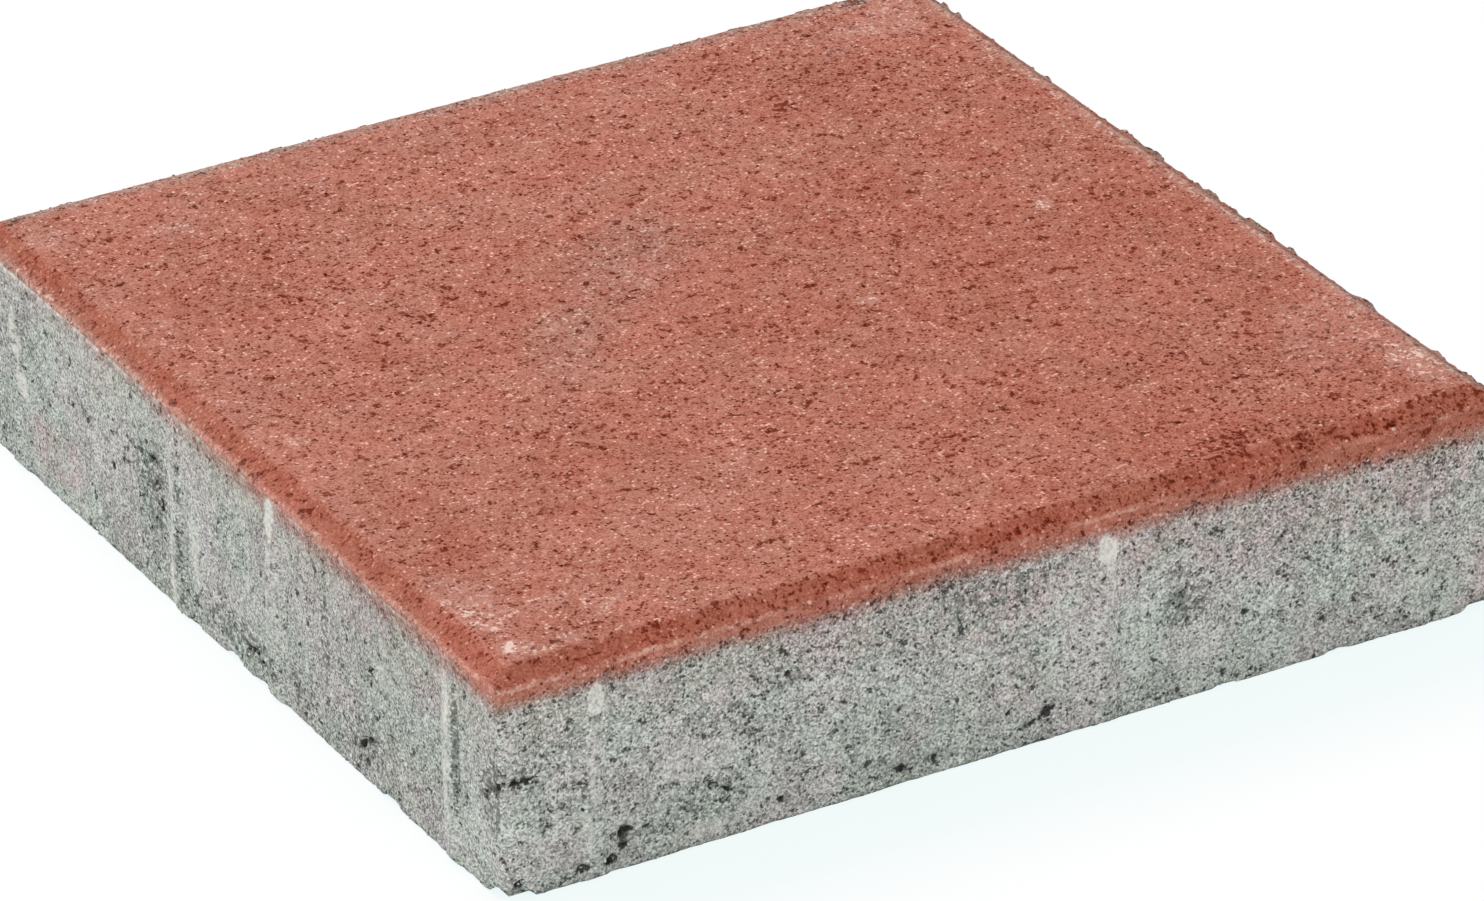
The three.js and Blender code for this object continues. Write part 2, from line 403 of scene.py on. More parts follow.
DARK_TOP = (
    (68, 86, 4, 3, 1), (-68, 31, 4, 2.6, 1), (21, 56, 2.4, 2.2, 0.9), (-12, -91, 5, 1.6, 1),
    (5, -91, 6, 1.8, 1), (101, -122, 3, 2, 1), (66, -128, 13, 5, 0.9), (92, -131, 6, 3, 0.7),
    (60, -16, 2.6, 2.4, 0.9), (25, -30, 2.4, 2.2, 0.9), (112, -126, 8, 3, 0.6, 20),
    (-60, 70, 6, 2.4, 0.7, 30), (58, -12, 6, 5, 0.6), (-76, 60, 4, 4, 0.7), (-30, -72, 5, 2, 0.8),
    (-87, 14, 3, 3, 0.7), (110, -1, 2.6, 3, 0.9), (-100, 92, 8, 6, 0.4), (-67, 28, 3, 1, 1.2),
    (-88, 13, 1.2, 2.2, 1.1), (20, 54, 2.6, 1, 1.2, 30), (-58, -26, 3, 1, 1.1, 10),
    (-99, -42, 3.4, 0.9, 1), (-76, -60, 2.6, 1.2, 1.1, 60), (-24, -70, 2.8, 1.4, 1.2),
    (-15, -92, 3.4, 0.9, 1.2), (9, -92, 4, 0.9, 1.2, 15), (-33, -104, 2.6, 1, 1.1), (8, -51, 2, 1.2, 1),
    (58, -12, 2.4, 1, 1.2, 40), (44, -37, 2, 1, 1.1), (101, -51, 2.4, 1, 1.1, 20),
    (42, -72, 2.4, 1, 1.1), (65, -90, 2.6, 1, 1.1, 30), (87, -101, 2.4, 1.2, 1.2),
    (69, 87, 2.6, 1.6, 1.3, 30), (112, -1, 1.8, 1.4, 1.3), (34, -133, 3, 1.2, 1.3), (50, -133, 4, 1, 1),
    (-8, 58, 5, 2.2, 0.8, 20), (80, 100, 6, 4, 0.5), (-90, -130, 4, 2, 0.6),
    (115, 130.4, 4.5, 2.4, 1.3), (100, 95, 36, 26, 0.35), (95, -95, 40, 30, 0.35),
    (-5, -85, 40, 20, 0.2), (-85, 60, 30, 40, 0.2), (-90, 0, 30, 30, 0.15), (60, 0, 60, 40, 0.15),
)

# Cement paste, smeared over the red. The two long strips along the far brow are a greyish painted
# sheen
SMEAR_AND_SHEEN_TOP = (
    (-10, 29, 30, 13, 0.2, 45), (-40, 2, 26, 10, 0.17, 50), (0, 132.5, 240, 3.2, 0.55),
    (133.4, 0, 2, 240, 0.35), (115, 131, 5.5, 2.8, 0.9),
)

# Patches that the shoe slicked
SLICK_TOP = (
    (70, -124, 70, 11, 0.35), (115, -50, 110, 120, 0.28), (50, 25, 26, 22, 0.25, 20),
    (95, 85, 26, 20, 0.3), (-100, 70, 22, 18, 0.2), (-5, -12, 10, 7, 0.3), (-120, -70, 12, 30, 0.25),
    (80, -90, 30, 14, 0.25), (-76, -62, 28, 18, 0.25),
)
print(len(BLOOM_AND_HIGHLIGHT_TOP), "patches of bloom,", len(DARK_TOP), "dark spots")


# %% Draw a mark
def soft_ellipse(u, v, half_u, half_v, turn=0.0):
    """1 at the middle of an ellipse, falling smoothly to 0 at its edge."""
    angle = math.radians(turn)
    p = (u * math.cos(angle) + v * math.sin(angle)) / (half_u * MM)
    q = (v * math.cos(angle) - u * math.sin(angle)) / (half_v * MM)
    return eased(np.clip(1 - (p * p + q * q), 0, 1))


def strongest(u, v, marks, spread):
    """The strongest of the marks at each place, with each drawn larger than listed by the spread."""
    total = np.zeros(len(u))
    for x, y, half_u, half_v, amount, *turn in marks:
        shape = soft_ellipse(u - x * MM, v - y * MM, half_u * spread, half_v * spread, *turn)
        total = np.maximum(total, shape * amount)
    return total


def side_marks(height, marks, spread=1.0):
    """Marks of the sides, at each column of a ring at this height."""
    return sum((side_of == side) * strongest(along, height, marks[side], spread) for side in marks)


near_foot = side_marks(np.full(AROUND, 6 * MM), VOIDS)
print("deepest void near the foot", round(near_foot.max(), 1), "mm")

# %% [markdown]
# ## Spacer nibs
# Half-round ribs on the sides keep the joint open when stones are laid. Each has a slanted tip, so
# the press can lift off, and its foot is worn down by the pallet. A Boolean could join ribs to the
# sides, but here the rows of the sides bulge out into them, which leaves no seam.

# %% Nib heights
NIB_WIDTH = 7.4 * MM
NIB_TIP = 9 * MM
NIB_TOP = JOINT - 1 * MM
NIB_OUTER = HALF - 24.5 * MM
NIB_INNER = 25 * MM
NIB_FOOT_WORN, NIB_FOOT_LOSS = 2 * MM, 0.7
NIBS = [(side, where) for side in range(4) for where in (-NIB_OUTER, NIB_INNER, NIB_OUTER)]
NIBS.append((LEFT, -NIB_INNER))


def nib_height(height):
    """How far the nibs stand out at each column of a ring."""
    radius = ((NIB_WIDTH / 2) ** 2 + NIB_PROUD ** 2) / (2 * NIB_PROUD)
    slant = NIB_PROUD * np.clip((NIB_TOP - height) / NIB_TIP, 0, 1)
    slant = slant * (1 - NIB_FOOT_LOSS * np.exp(-height / NIB_FOOT_WORN))
    total = np.zeros(AROUND)
    for side, where in NIBS:
        offset = along - where
        arc = np.sqrt(np.clip(radius ** 2 - offset ** 2, 0, None)) - (radius - NIB_PROUD)
        total = np.maximum(total, np.minimum(arc, slant) * (side_of == side))
    return total


print(len(NIBS), "nibs,", round(NIB_PROUD / MM, 2), "mm proud")

# %% [markdown]
# ## Lines that wander
# No line on a cast stone is straight. A noise texture could bend them, but a ripple worked out here
# closes on itself round the stone, and other lines can be measured from it. The red facing follows
# the uneven top of the grey fill, so the line between them also rises and falls slowly from corner
# to corner, and blends over a few millimetres. The far arris has crumbled: between the crumbs left
# standing, it has broken off. The lower edge is chipped where the stone left the pallet.

# %% Draw the crumbled arris, the joint line and the lower edge
FAR_REACH = {FAR_RIGHT: 1.0, FAR_LEFT: 0.85}  # how far each far arris has crumbled
CRUMB_RIPPLES = ((6.5 * MM, 1.2, 33), (3 * MM, 0.7, 34), (1.3 * MM, 0.5, 35))
GAP_DEPTH, GAP_WIDTH = 0.6 * MM, 2.2 * MM

# Corners are 0 front, 1 right, 2 back, 3 left, and 4 is the front corner again
JOINT_STOPS = (0, 0.5, 1, 1.5, 2, 2.5, 3, 3.5, 3.9, 4)
JOINT_HEIGHTS = np.array([53.5, 53.1, 50.1, 50.8, 51.0, 52.6, 56.9, 55.2, 54.2, 53.5]) * MM
JOINT_SOFTNESS = np.array([3.0, 3.9, 4.2, 3.2, 2.4, 3.0, 3.2, 5.4, 5.6, 3.0]) * MM
JOINT_RIPPLES = ((24 * MM, 0.5 * MM, 11), (7 * MM, 0.3 * MM, 12), (2.6 * MM, 0.15 * MM, 13))
JOINT_HIGHEST = ARRIS - 1 * MM
FOOT_START, FOOT_RIPPLES = -0.5, ((6 * MM, 1, 21),)  # so only the highest ripples lift the foot
FOOT_RISE = 0.2

far_reach = sum((side_of == side) * reach for side, reach in FAR_REACH.items())
crumbs = np.clip(rippled(0, CRUMB_RIPPLES), 0, 1)
gap = far_reach * (1 - crumbs) * GAP_DEPTH

red_line = rippled(np.interp(side_of + step_of, JOINT_STOPS, JOINT_HEIGHTS), JOINT_RIPPLES)
joint_softness = np.interp(side_of + step_of, JOINT_STOPS, JOINT_SOFTNESS)
joint_line = np.minimum(red_line, JOINT_HIGHEST - gap)  # the skins meet here, below any gap


def red_share(height):
    """0.5 on the line of the red, growing by 1 over twice the softness as the height grows."""
    return 0.5 + (height - red_line) / (2 * joint_softness)


foot_line = np.clip(rippled(FOOT_START, FOOT_RIPPLES), 0, 1) * FOOT_RISE * MM
for side, chips in FOOT_CHIPS.items():
    for where, half, lift in chips:
        near = soft_ellipse(along - where * MM, 0 * along, half, 1.0) * (side_of == side)
        foot_line = foot_line + near * lift * MM
print("joint line from", round(joint_line.min() / MM, 1), "to", round(joint_line.max() / MM, 1), "mm")

# %% [markdown]
# ## Lime dust and a painted highlight on the arris
# Stones in a stack rub on each other, and pale dust stays on the arris. The same pale line also
# stands in for the highlight that the arris catches, so it is partly a painted highlight. A mask could
# be painted for it, but a formula in height and place keeps it on the line. On the left side it is a
# band that grows towards the left corner, with a second faint band lower down. Elsewhere it is a
# thin line, stronger in some places than in others.

# %% Lay the dust and the painted highlight
ARRIS_START, ARRIS_RIPPLES = 0.45, ((11 * MM, 0.8, 41), (3 * MM, 0.6, 42))
RIGHT_BREAKS, RIGHT_EASING, MOST_BROKEN = 1.25, 0.3, 1.5  # the right arris breaks less to the right
# Reach and amount on the front half of the left side, and what they gain up to the left corner
LEFT_UP, LEFT_DOWN, LEFT_AMOUNT = (0.9, 0.3), (2.4, 1.0), (0.5, 0.4)
LINE_UP, LINE_DOWN, LINE_AMOUNT = 0.55, 0.5, (0.2, 0.2)  # elsewhere it gains where the arris breaks
DUST_BAND, DUST_REACH, DUST_SHARE = 50 * MM, 7 * MM, 0.25  # the lower band of the left side

to_left_corner = np.clip(-along / HALF, 0, 1)
arris_breaks = np.where(on_left, 1.0, rippled(ARRIS_START, ARRIS_RIPPLES))
right_breaks = RIGHT_BREAKS - RIGHT_EASING * along / HALF
arris_breaks = np.clip(arris_breaks * np.where(on_right, right_breaks, 1.0), 0, MOST_BROKEN)
dust_and_highlight_up = np.where(on_left, gaining(*LEFT_UP, to_left_corner), LINE_UP) * MM
dust_and_highlight_down = np.where(on_left, gaining(*LEFT_DOWN, to_left_corner), LINE_DOWN) * MM
dust_and_highlight_amount = np.where(
    on_left, gaining(*LEFT_AMOUNT, to_left_corner), gaining(*LINE_AMOUNT, arris_breaks))


def dust_and_arris_highlight(height):
    """How much dust and painted highlight lies at each column of a ring at this height."""
    line = fading(height - ARRIS, np.where(height > ARRIS, dust_and_highlight_up, dust_and_highlight_down)) * dust_and_highlight_amount
    return np.maximum(line, fading(height - DUST_BAND, DUST_REACH) * DUST_SHARE * on_left)


print("dust on the arris from", round(dust_and_highlight_amount.min(), 2), "to", round(dust_and_highlight_amount.max(), 2))

# %% [markdown]
# ## Grey base skin
# The base runs from the crumbled foot line up to the joint line. Level rows with a cut along the
# joint would leave slivers there, so rows are spread between the two lines on each column, and bend
# with both. Under it, and where the facing sits on it, the shell is closed with a level grid.

# %% Build the base skin
BASE_ROWS = 60
FOOT_BREAK = 0.5 * MM
CHIP_IN, CHIP_FADE = 0.8, 1.6 * MM  # a chip reaches in by this share of its lift, and fades upwards
FOOT_WORN, FOOT_WEAR, FOOT_DARKENING = 2 * MM, 0.4, 0.2  # the lower edge is worn, and darker, this far up
ARRIS_WORN, ARRIS_WEAR = 1.5 * MM, 0.35  # the arris is worn this far down
DAMP_AND_SHADE_SPREAD, BLUSH_SPREAD = 1.5, 1.3  # drawn larger than listed, for their soft edges
RIM_SLICK, RIM_SLICK_GAIN = 0.6, 0.25  # on the right side the mould slicked the red
ALL_GREY, ALL_RED = -5.0, 5.0  # red shares far from the blend
UNDER_RELIEF, WALK_RELIEF = 0.7, 0.8
UNDER_CELLS, HIDDEN_CELLS = COLUMNS // 2, COLUMNS // 12


def add_side_row(shell, height):
    """Adds one ring of the upright sides. Both skins use it, so their shared ring is the same."""
    above_foot = height - foot_line
    break_in = np.clip(FOOT_BREAK - above_foot, 0, None) * (1 + foot_line / MM)
    chip_in = CHIP_IN * foot_line * np.exp(-above_foot / CHIP_FADE)
    near_foot = np.exp(-above_foot / FOOT_WORN)
    near_arris = np.exp((height - ARRIS) / ARRIS_WORN)
    slick = on_right * (RIM_SLICK + RIM_SLICK_GAIN * along / HALF) * np.clip(red_share(height), 0, 1)
    return shell.add_ring(
        break_in + chip_in - nib_height(height), height, CORNER_RADIUS,
        red_share=red_share(height), relief=1.0, chamfer=slick, void=side_marks(height, VOIDS),
        edge=near_foot * FOOT_WEAR + near_arris * ARRIS_WEAR,
        # The pale marks also paint highlights on the nibs and along the arris, and the dark marks paint
        # shade on the shaded flank of some nibs
        pale=np.maximum(side_marks(height, PALE_AND_LIT_SIDES), dust_and_arris_highlight(height)),
        stain=np.maximum(side_marks(height, DAMP_AND_SHADE_SIDES, DAMP_AND_SHADE_SPREAD), FOOT_DARKENING * near_foot),
        smudge=side_marks(height, BLUSH_SIDES, BLUSH_SPREAD) * (shell is base))


base = Shell()
rows = [add_side_row(base, foot_line + (joint_line - foot_line) * row / BASE_ROWS)
        for row in range(BASE_ROWS + 1)]
base.bridge(rows)
base.sharp.update(rows[-1])
base.fill(rows[-1], HIDDEN_CELLS, JOINT, UP)
base.fill(rows[0], UNDER_CELLS, 0.0, DOWN, red_share=ALL_GREY, relief=UNDER_RELIEF)
print("base skin:", base.count, "points,", len(base.faces), "faces")

# %% [markdown]
# ## Red facing skin
# The section of the edge is a short upright rim, the arris, the chamfer and the brow. Arris and brow
# are small arcs, because sand never holds a sharp corner. A Bevel modifier could round them, but the
# burr and the crumbled arris need rows of their own, so the section is drawn point by point.

# %% Draw the section of the edge
ARRIS_ARC, BROW_ARC = 1.0 * MM, 1.5 * MM
TOP_GAP = 0.25 * MM  # the grains reach up to the block's top, and the skin lies this much lower
RIM_ROWS, ARC_ROWS, SLOPE_ROWS = 5, 4, 6


def arc(start, first_angle, last_angle, radius):
    """Inset and height along an arc that starts at a point, by the angle of travel."""
    angles = [first_angle + (last_angle - first_angle) * k / ARC_ROWS for k in range(ARC_ROWS + 1)]
    spokes = [radius * np.array([-math.sin(angle), math.cos(angle)]) for angle in angles]
    return [start - spokes[0] + spoke for spoke in spokes]


slope = math.atan2(TOP - ARRIS, CHAMFER_WIDTH)
arris_reach = ARRIS_ARC * math.tan((math.pi / 2 - slope) / 2)
brow_reach = BROW_ARC * math.tan(slope / 2)
slope_way = np.array([math.cos(slope), math.sin(slope)])
rim_top = ARRIS - arris_reach
arris_spots = arc(np.array([0, rim_top]), math.pi / 2, slope, ARRIS_ARC)
brow_start = np.array([CHAMFER_WIDTH, TOP - TOP_GAP]) - slope_way * brow_reach
brow_spots = arc(brow_start, slope, 0.0, BROW_ARC)
slope_spots = [arris_spots[-1] + (brow_start - arris_spots[-1]) * k / (SLOPE_ROWS + 1)
               for k in range(1, SLOPE_ROWS + 1)]
section = [(*spot, "arris") for spot in arris_spots[1:]]
section += [(*spot, "slope") for spot in slope_spots]
section += [(*spot, "brow") for spot in brow_spots]
brow_inset, walk_height = brow_spots[-1]
print("edge of", len(section), "rows, walking face at", round(walk_height / MM, 2), "mm")

# %% [markdown]
# ### Wear of the edge
# The shoe squeezes up a small burr along the arris, its steel leaves the chamfer slick, and handling
# breaks the arris here and there. On the far sides the crumbs get a greyish painted sheen and painted
# shade, and the far brow a painted highlight and sheen. All that could be painted on the finished
# skin, but it follows the section, so a table says how strong each kind of wear, sheen, shade and
# highlight is on each part of it.

# %% List the wear of the edge
FIN_HEIGHT, FIN_WIDTH, FIN_INSET = 0.8 * MM, 0.5 * MM, 0.4 * MM  # the burr along the arris
FIN_LOWEST, FIN_RIPPLES = 0.15, ((5 * MM, 1, 31), (2 * MM, 0.3, 32))
FAR_FIN = 0.9  # how much of it the crumbs left standing on the far arris carry
# A greyish painted sheen along the far brow
BROW_SHEEN, BROW_SHEEN_LEVEL, BROW_SHEEN_RIPPLES = 0.7, 0.8, ((16 * MM, 0.5, 43),)
LEFT_SLICK, RIGHT_SLICK_GAIN = 0.85, 0.35
SPOTTING, SPOTTING_GAIN = 0.4, 0.2  # dark spots of the right chamfer, more towards the right corner
SHEEN_LEAST, SHADE_LEAST = 0.6, 0.3  # how much painted sheen and painted shade the gaps between the crumbs get
PARTS = {  # relief, slick, wear, spots, painted sheen of the far crumbs, painted shade of the far crumbs, painted highlight of the far brow
    "arris": (0.6, 0.8, 1.0, 0.3, 1.0, 0.9, 0.0),
    "slope": (0.35, 0.95, 0.03, 0.8, 0.6, 0.3, 0.0),
    "brow": (0.5, 0.5, 0.12, 1.0, 0.0, 0.0, 0.4),
}

far_side = far_reach > 0
fin = FIN_LOWEST + (1 - FIN_LOWEST) * np.clip(rippled(0, FIN_RIPPLES), 0, 1)
fin = FIN_HEIGHT * np.where(far_side, FIN_LOWEST + FAR_FIN * far_reach * crumbs, fin)
brow_sheen = far_reach * BROW_SHEEN * np.clip(rippled(BROW_SHEEN_LEVEL, BROW_SHEEN_RIPPLES), 0, 1)
slickness = np.where(on_left, LEFT_SLICK, 1.0)
slick_rise = 1 + RIGHT_SLICK_GAIN * on_right * along / HALF
spotting = on_right * np.clip(SPOTTING + SPOTTING_GAIN * along / HALF, 0, 1)
pale_crumbs = far_side * (SHEEN_LEAST + (1 - SHEEN_LEAST) * crumbs)
crumb_shade = far_side * (SHADE_LEAST + crumbs)
print("burr up to", round(fin.max() / MM, 2), "mm high")

# %% [markdown]
# ### The skin of the facing
# Rings climb from the joint line over the rim, the arris and the chamfer to the brow, and each of
# them carries its notes. The walking face could be one flat polygon with bump, but that would look
# dead level from low down, so it is a level grid on the same columns, about a millimetre apart, and
# the relief shapes it.

# %% Build the facing skin
ARRIS_FADE = 0.5 * MM  # the wear of the arris fades over this
LEAN_POWER, LEAN_START = 0.7, 0.15  # how the skin's outward direction turns up along the section
CORNERS_TIGHTEN = 0.8  # the corner radius shrinks by this share up to the brow

facing = Shell()
rows = [add_side_row(facing, joint_line + (rim_top - gap - joint_line) * row / RIM_ROWS)
        for row in range(RIM_ROWS + 1)]
for inset, height, part in section:
    relief, slick, wear, spots, pale, dark, lime_and_highlight = PARTS[part]
    lean = LEAN_START + (1 - LEAN_START) * (inset / brow_inset) ** LEAN_POWER
    radius = CORNER_RADIUS * (1 - CORNERS_TIGHTEN * min(1, inset / CHAMFER_WIDTH))
    raised = fin * fading(inset - FIN_INSET, FIN_WIDTH)
    broken = gap * fading(inset, GAP_WIDTH)
    wear_here = arris_breaks * fading(inset, ARRIS_FADE) if part == "arris" else 1.0
    rows.append(facing.add_ring(
        inset, height + raised - broken, radius, lift=lean,
        red_share=red_share(height), relief=relief, edge=wear * wear_here,
        chamfer=slickness * slick * (1.0 if part == "slope" else slick_rise),
        # On the far edge, the dark marks paint shade on the crumbs, the greyish ones a sheen on the
        # crumbs and the brow, and the pale ones a highlight along the brow
        stain=np.maximum(spotting * spots, crumb_shade * dark),
        smudge=np.maximum(pale_crumbs * pale, brow_sheen * (part == "brow")),
        pale=np.maximum(dust_and_arris_highlight(height), far_side * lime_and_highlight)))
facing.bridge(rows)
facing.sharp.update(rows[0])
facing.fill(rows[0], HIDDEN_CELLS, JOINT, DOWN)
facing.fill(rows[-1], COLUMNS, walk_height, UP, red_share=ALL_RED, relief=WALK_RELIEF)
print("facing skin:", facing.count, "points,", len(facing.faces), "faces")

# %% [markdown]
# ### The marks on the grid
# Bloom, spots, smears, slick patches and the painted highlight and sheen of the far brow could be
# textures of their own. As notes they stay with the mesh and need no second set of places, so the
# listed marks are written over the grid's notes.

# %% Mark the walking face
TOP_SPREAD = 1.4  # these marks too are drawn larger than listed
TOP_NOTES = {"pale": BLOOM_AND_HIGHLIGHT_TOP, "stain": DARK_TOP, "smudge": SMEAR_AND_SHEEN_TOP, "chamfer": SLICK_TOP}

places = facing.all_places()
on_walk = places[:, 2] > walk_height - NEAR
for name, marks in TOP_NOTES.items():
    facing.set_note(name, strongest(places[:, 0], places[:, 1], marks, TOP_SPREAD), on_walk)
print(on_walk.sum(), "points on the walking face")

# %% [markdown]
# ## Relief with Geometry Nodes
# Pressed concrete is level only from afar. Close to, it waves a little, it is lumpy where sand grains
# crowd, and gritty where they stand out. A stack of Displace modifiers could do that, but one
# Geometry Nodes tree also reads the notes and stops at the faces of the block. It moves each point of
# a skin along its outward direction by three noises, each with a size and a depth. It also wears the
# marked edges back, hollows the voids and sinks small pits. Both skins use the same numbers, so the
# points on their shared border move alike.

# %% Helpers for node trees
def add_node(tree, kind, inputs=None, **settings):
    """Adds a node, sets its settings, and links or fills its inputs. Colours are red, green, blue."""
    node = tree.nodes.new(kind)
    for name, value in settings.items():
        setattr(node, name, value)
    for name, value in (inputs or {}).items():
        socket = node.inputs[name]
        if isinstance(value, bpy.types.NodeSocket):
            tree.links.new(value, socket)
        else:
            socket.default_value = (*value, 1) if socket.type == "RGBA" else value
    return node


def output(tree, kind, inputs, **settings):
    """Adds a node and returns its first output."""
    return add_node(tree, kind, inputs, **settings).outputs[0]


print("node maker ready")


# %% Arithmetic and noise with nodes
def calc(tree, operation, first, second=0.5, third=0.5):
    """One step of arithmetic on numbers."""
    return output(tree, "ShaderNodeMath", {0: first, 1: second, 2: third}, operation=operation)


def times(tree, first, second):
    """The product of two numbers."""
    return calc(tree, "MULTIPLY", first, second)


def plus(tree, total, *parts):
    """A total, with values added to it, each times the number that follows it in the parts."""
    for value, by in zip(parts[::2], parts[1::2]):
        total = calc(tree, "MULTIPLY_ADD", value, by, total)
    return total


def calc_vector(tree, operation, first, second):
    """One step of arithmetic on vectors."""
    return output(tree, "ShaderNodeVectorMath", {0: first, 1: second}, operation=operation)


def scale_vector(tree, vector, by):
    """A vector times a number."""
    return output(tree, "ShaderNodeVectorMath", {0: vector, "Scale": by}, operation="SCALE")


def noise(tree, place, size, detail=2.0, rough=0.5):
    """Noise from 0 to 1 whose blotches are about size across. size is metres or a socket."""
    scale = calc(tree, "DIVIDE", 1.0, size) if isinstance(size, bpy.types.NodeSocket) else 1.0 / size
    facts = {"Vector": place, "Scale": scale, "Detail": detail, "Roughness": rough}
    return output(tree, "ShaderNodeTexNoise", facts)


def ramp_between(tree, value, low, high, to_low=0.0, to_high=1.0):
    """Maps low..high smoothly to to_low..to_high, and holds it there beyond."""
    facts = {0: value, 1: low, 2: high, 3: to_low, 4: to_high}
    return output(tree, "ShaderNodeMapRange", facts, interpolation_type="SMOOTHSTEP")


def patches(tree, place, size, low=0.38, high=0.62, *to):
    """Soft-edged patches, about size across."""
    return ramp_between(tree, noise(tree, place, size, detail=3.0), low, high, *to)


print("arithmetic ready")

# %% Helpers for Geometry Nodes
def new_tree(name, sockets):
    """A Geometry Nodes tree with named inputs. Returns the tree, its inputs by name, its output."""
    tree = bpy.data.node_groups.new(name, "GeometryNodeTree")
    tree.is_modifier = True
    tree.interface.new_socket("Geometry", in_out="OUTPUT", socket_type="NodeSocketGeometry")
    for label, kind in {"Geometry": "Geometry", **sockets}.items():
        tree.interface.new_socket(label, in_out="INPUT", socket_type="NodeSocket" + kind)
    return tree, tree.nodes.new("NodeGroupInput").outputs, tree.nodes.new("NodeGroupOutput").inputs[0]


def step(tree, kind, geometry, **inputs):
    """One Geometry Nodes step on some geometry."""
    return output(tree, "GeometryNode" + kind, {"Geometry": geometry, **inputs})


def named(tree, name, kind="FLOAT"):
    """Reads one of the notes on the points."""
    return output(tree, "GeometryNodeInputNamedAttribute", {"Name": name}, data_type=kind)


def held_in(tree, place, given):
    """A place, held between the lowest and the highest corner that the tree is given."""
    place = calc_vector(tree, "MAXIMUM", place, given["Lowest"])
    return calc_vector(tree, "MINIMUM", place, given["Highest"])


def apply_tree(piece, tree, values):
    """Runs a tree on a piece with the given input values, and keeps the result as its plain mesh."""
    modifier = piece.modifiers.new(tree.name, "NODES")
    modifier.node_group = tree
    for item in tree.interface.items_tree:
        if item.in_out == "INPUT" and item.name in values:
            modifier[item.identifier] = values[item.name]
    bpy.context.view_layer.update()
    depsgraph = bpy.context.evaluated_depsgraph_get()
    shaped = piece.evaluated_get(depsgraph)
    plain = bpy.data.meshes.new_from_object(shaped, preserve_all_data_layers=True, depsgraph=depsgraph)
    piece.modifiers.clear()
    piece.data = plain
    plain.name = piece.name
    return piece


def new_piece(name, data):
    """Links an object that shows the mesh or the lamp."""
    piece = bpy.data.objects.new(name, data)
    bpy.context.scene.collection.objects.link(piece)
    return piece


print("Geometry Nodes helpers ready")

# %% Build the relief tree
NOISES = ("Wave", "Lump", "Grit")
HOLE_SIZE = 2.8 * MM
# One noise cuts voids and pits ragged here, and the finishes paint shade into them by the same ramps
HOLLOW_RAMP = (0.34, 0.56, 1.35, 0.25)
PIT_RAMP, WEAR_RAMP = (0.385, 0.325), (0.45, 0.68)
BLOCK_SOCKETS = {"Lowest": "Vector", "Highest": "Vector", "Finish": "Material"}

sockets = {f"{name} {what}": "Float" for name in (*NOISES, "Wear") for what in ("size", "depth")}
sockets.update({"Hole size": "Float", "Pit depth": "Float", **BLOCK_SOCKETS})
tree, given, result = new_tree("pressed_relief", sockets)
place = tree.nodes.new("GeometryNodeInputPosition").outputs[0]
push = 0.0
for name in NOISES:
    rise = calc(tree, "SUBTRACT", noise(tree, place, given[f"{name} size"], detail=1.0), 0.5)
    push = plus(tree, push, rise, given[f"{name} depth"])
push = times(tree, push, named(tree, "relief"))
worn = times(tree, patches(tree, place, given["Wear size"], *WEAR_RAMP), named(tree, "edge"))
push = calc(tree, "SUBTRACT", push, times(tree, worn, given["Wear depth"]))
ragged = noise(tree, place, given["Hole size"], detail=4.0, rough=0.6)
hollow = times(tree, ramp_between(tree, ragged, *HOLLOW_RAMP), named(tree, "void"))
push = plus(tree, push, hollow, -MM)
pit = times(tree, ramp_between(tree, ragged, *PIT_RAMP), named(tree, "relief"))
push = calc(tree, "SUBTRACT", push, times(tree, pit, given["Pit depth"]))
moved = scale_vector(tree, named(tree, "outward", "FLOAT_VECTOR"), push)
moved = held_in(tree, calc_vector(tree, "ADD", place, moved), given)
skin = step(tree, "SetPosition", given["Geometry"], Position=moved)
skin = step(tree, "RealizeInstances", skin)
tree.links.new(step(tree, "SetMaterial", skin, Material=given["Finish"]), result)
relief_tree = tree
print("relief tree:", len(tree.nodes), "nodes")

# %% [markdown]
# ## Sand grains with Geometry Nodes
# Coarse grains of sand stand half out of both concretes. A hair particle system could strew them,
# but a tree keeps every number in sight. It scatters points over a skin, more where the press left
# it rough and none on the hidden joint, sets a lumpy twenty-sided grain on each, turned and sized at
# random, and notes a random tone, because some grains are pale quartz.

# %% Build the sand tree
THINNEST, WIDEST = (0.7,) * 3, (1.3,) * 3
FULL_TURN = (6.283,) * 3

sockets = {name: "Float" for name in ("Grains per square metre", "Smallest", "Largest", "Sunk")}
sockets.update({"Seed": "Int", **BLOCK_SOCKETS})
tree, given, result = new_tree("sand_grains", sockets)


def chance(tree, given, low, high, offset, kind="FLOAT"):
    """A random number or vector for each point, from the tree's seed."""
    at = ("FLOAT_VECTOR", "FLOAT").index(kind)  # each kind has sockets of its own
    seed = calc(tree, "ADD", given["Seed"], float(offset))
    facts = {2 * at: low, 2 * at + 1: high, "Seed": seed}
    return add_node(tree, "FunctionNodeRandomValue", facts, data_type=kind).outputs[at]


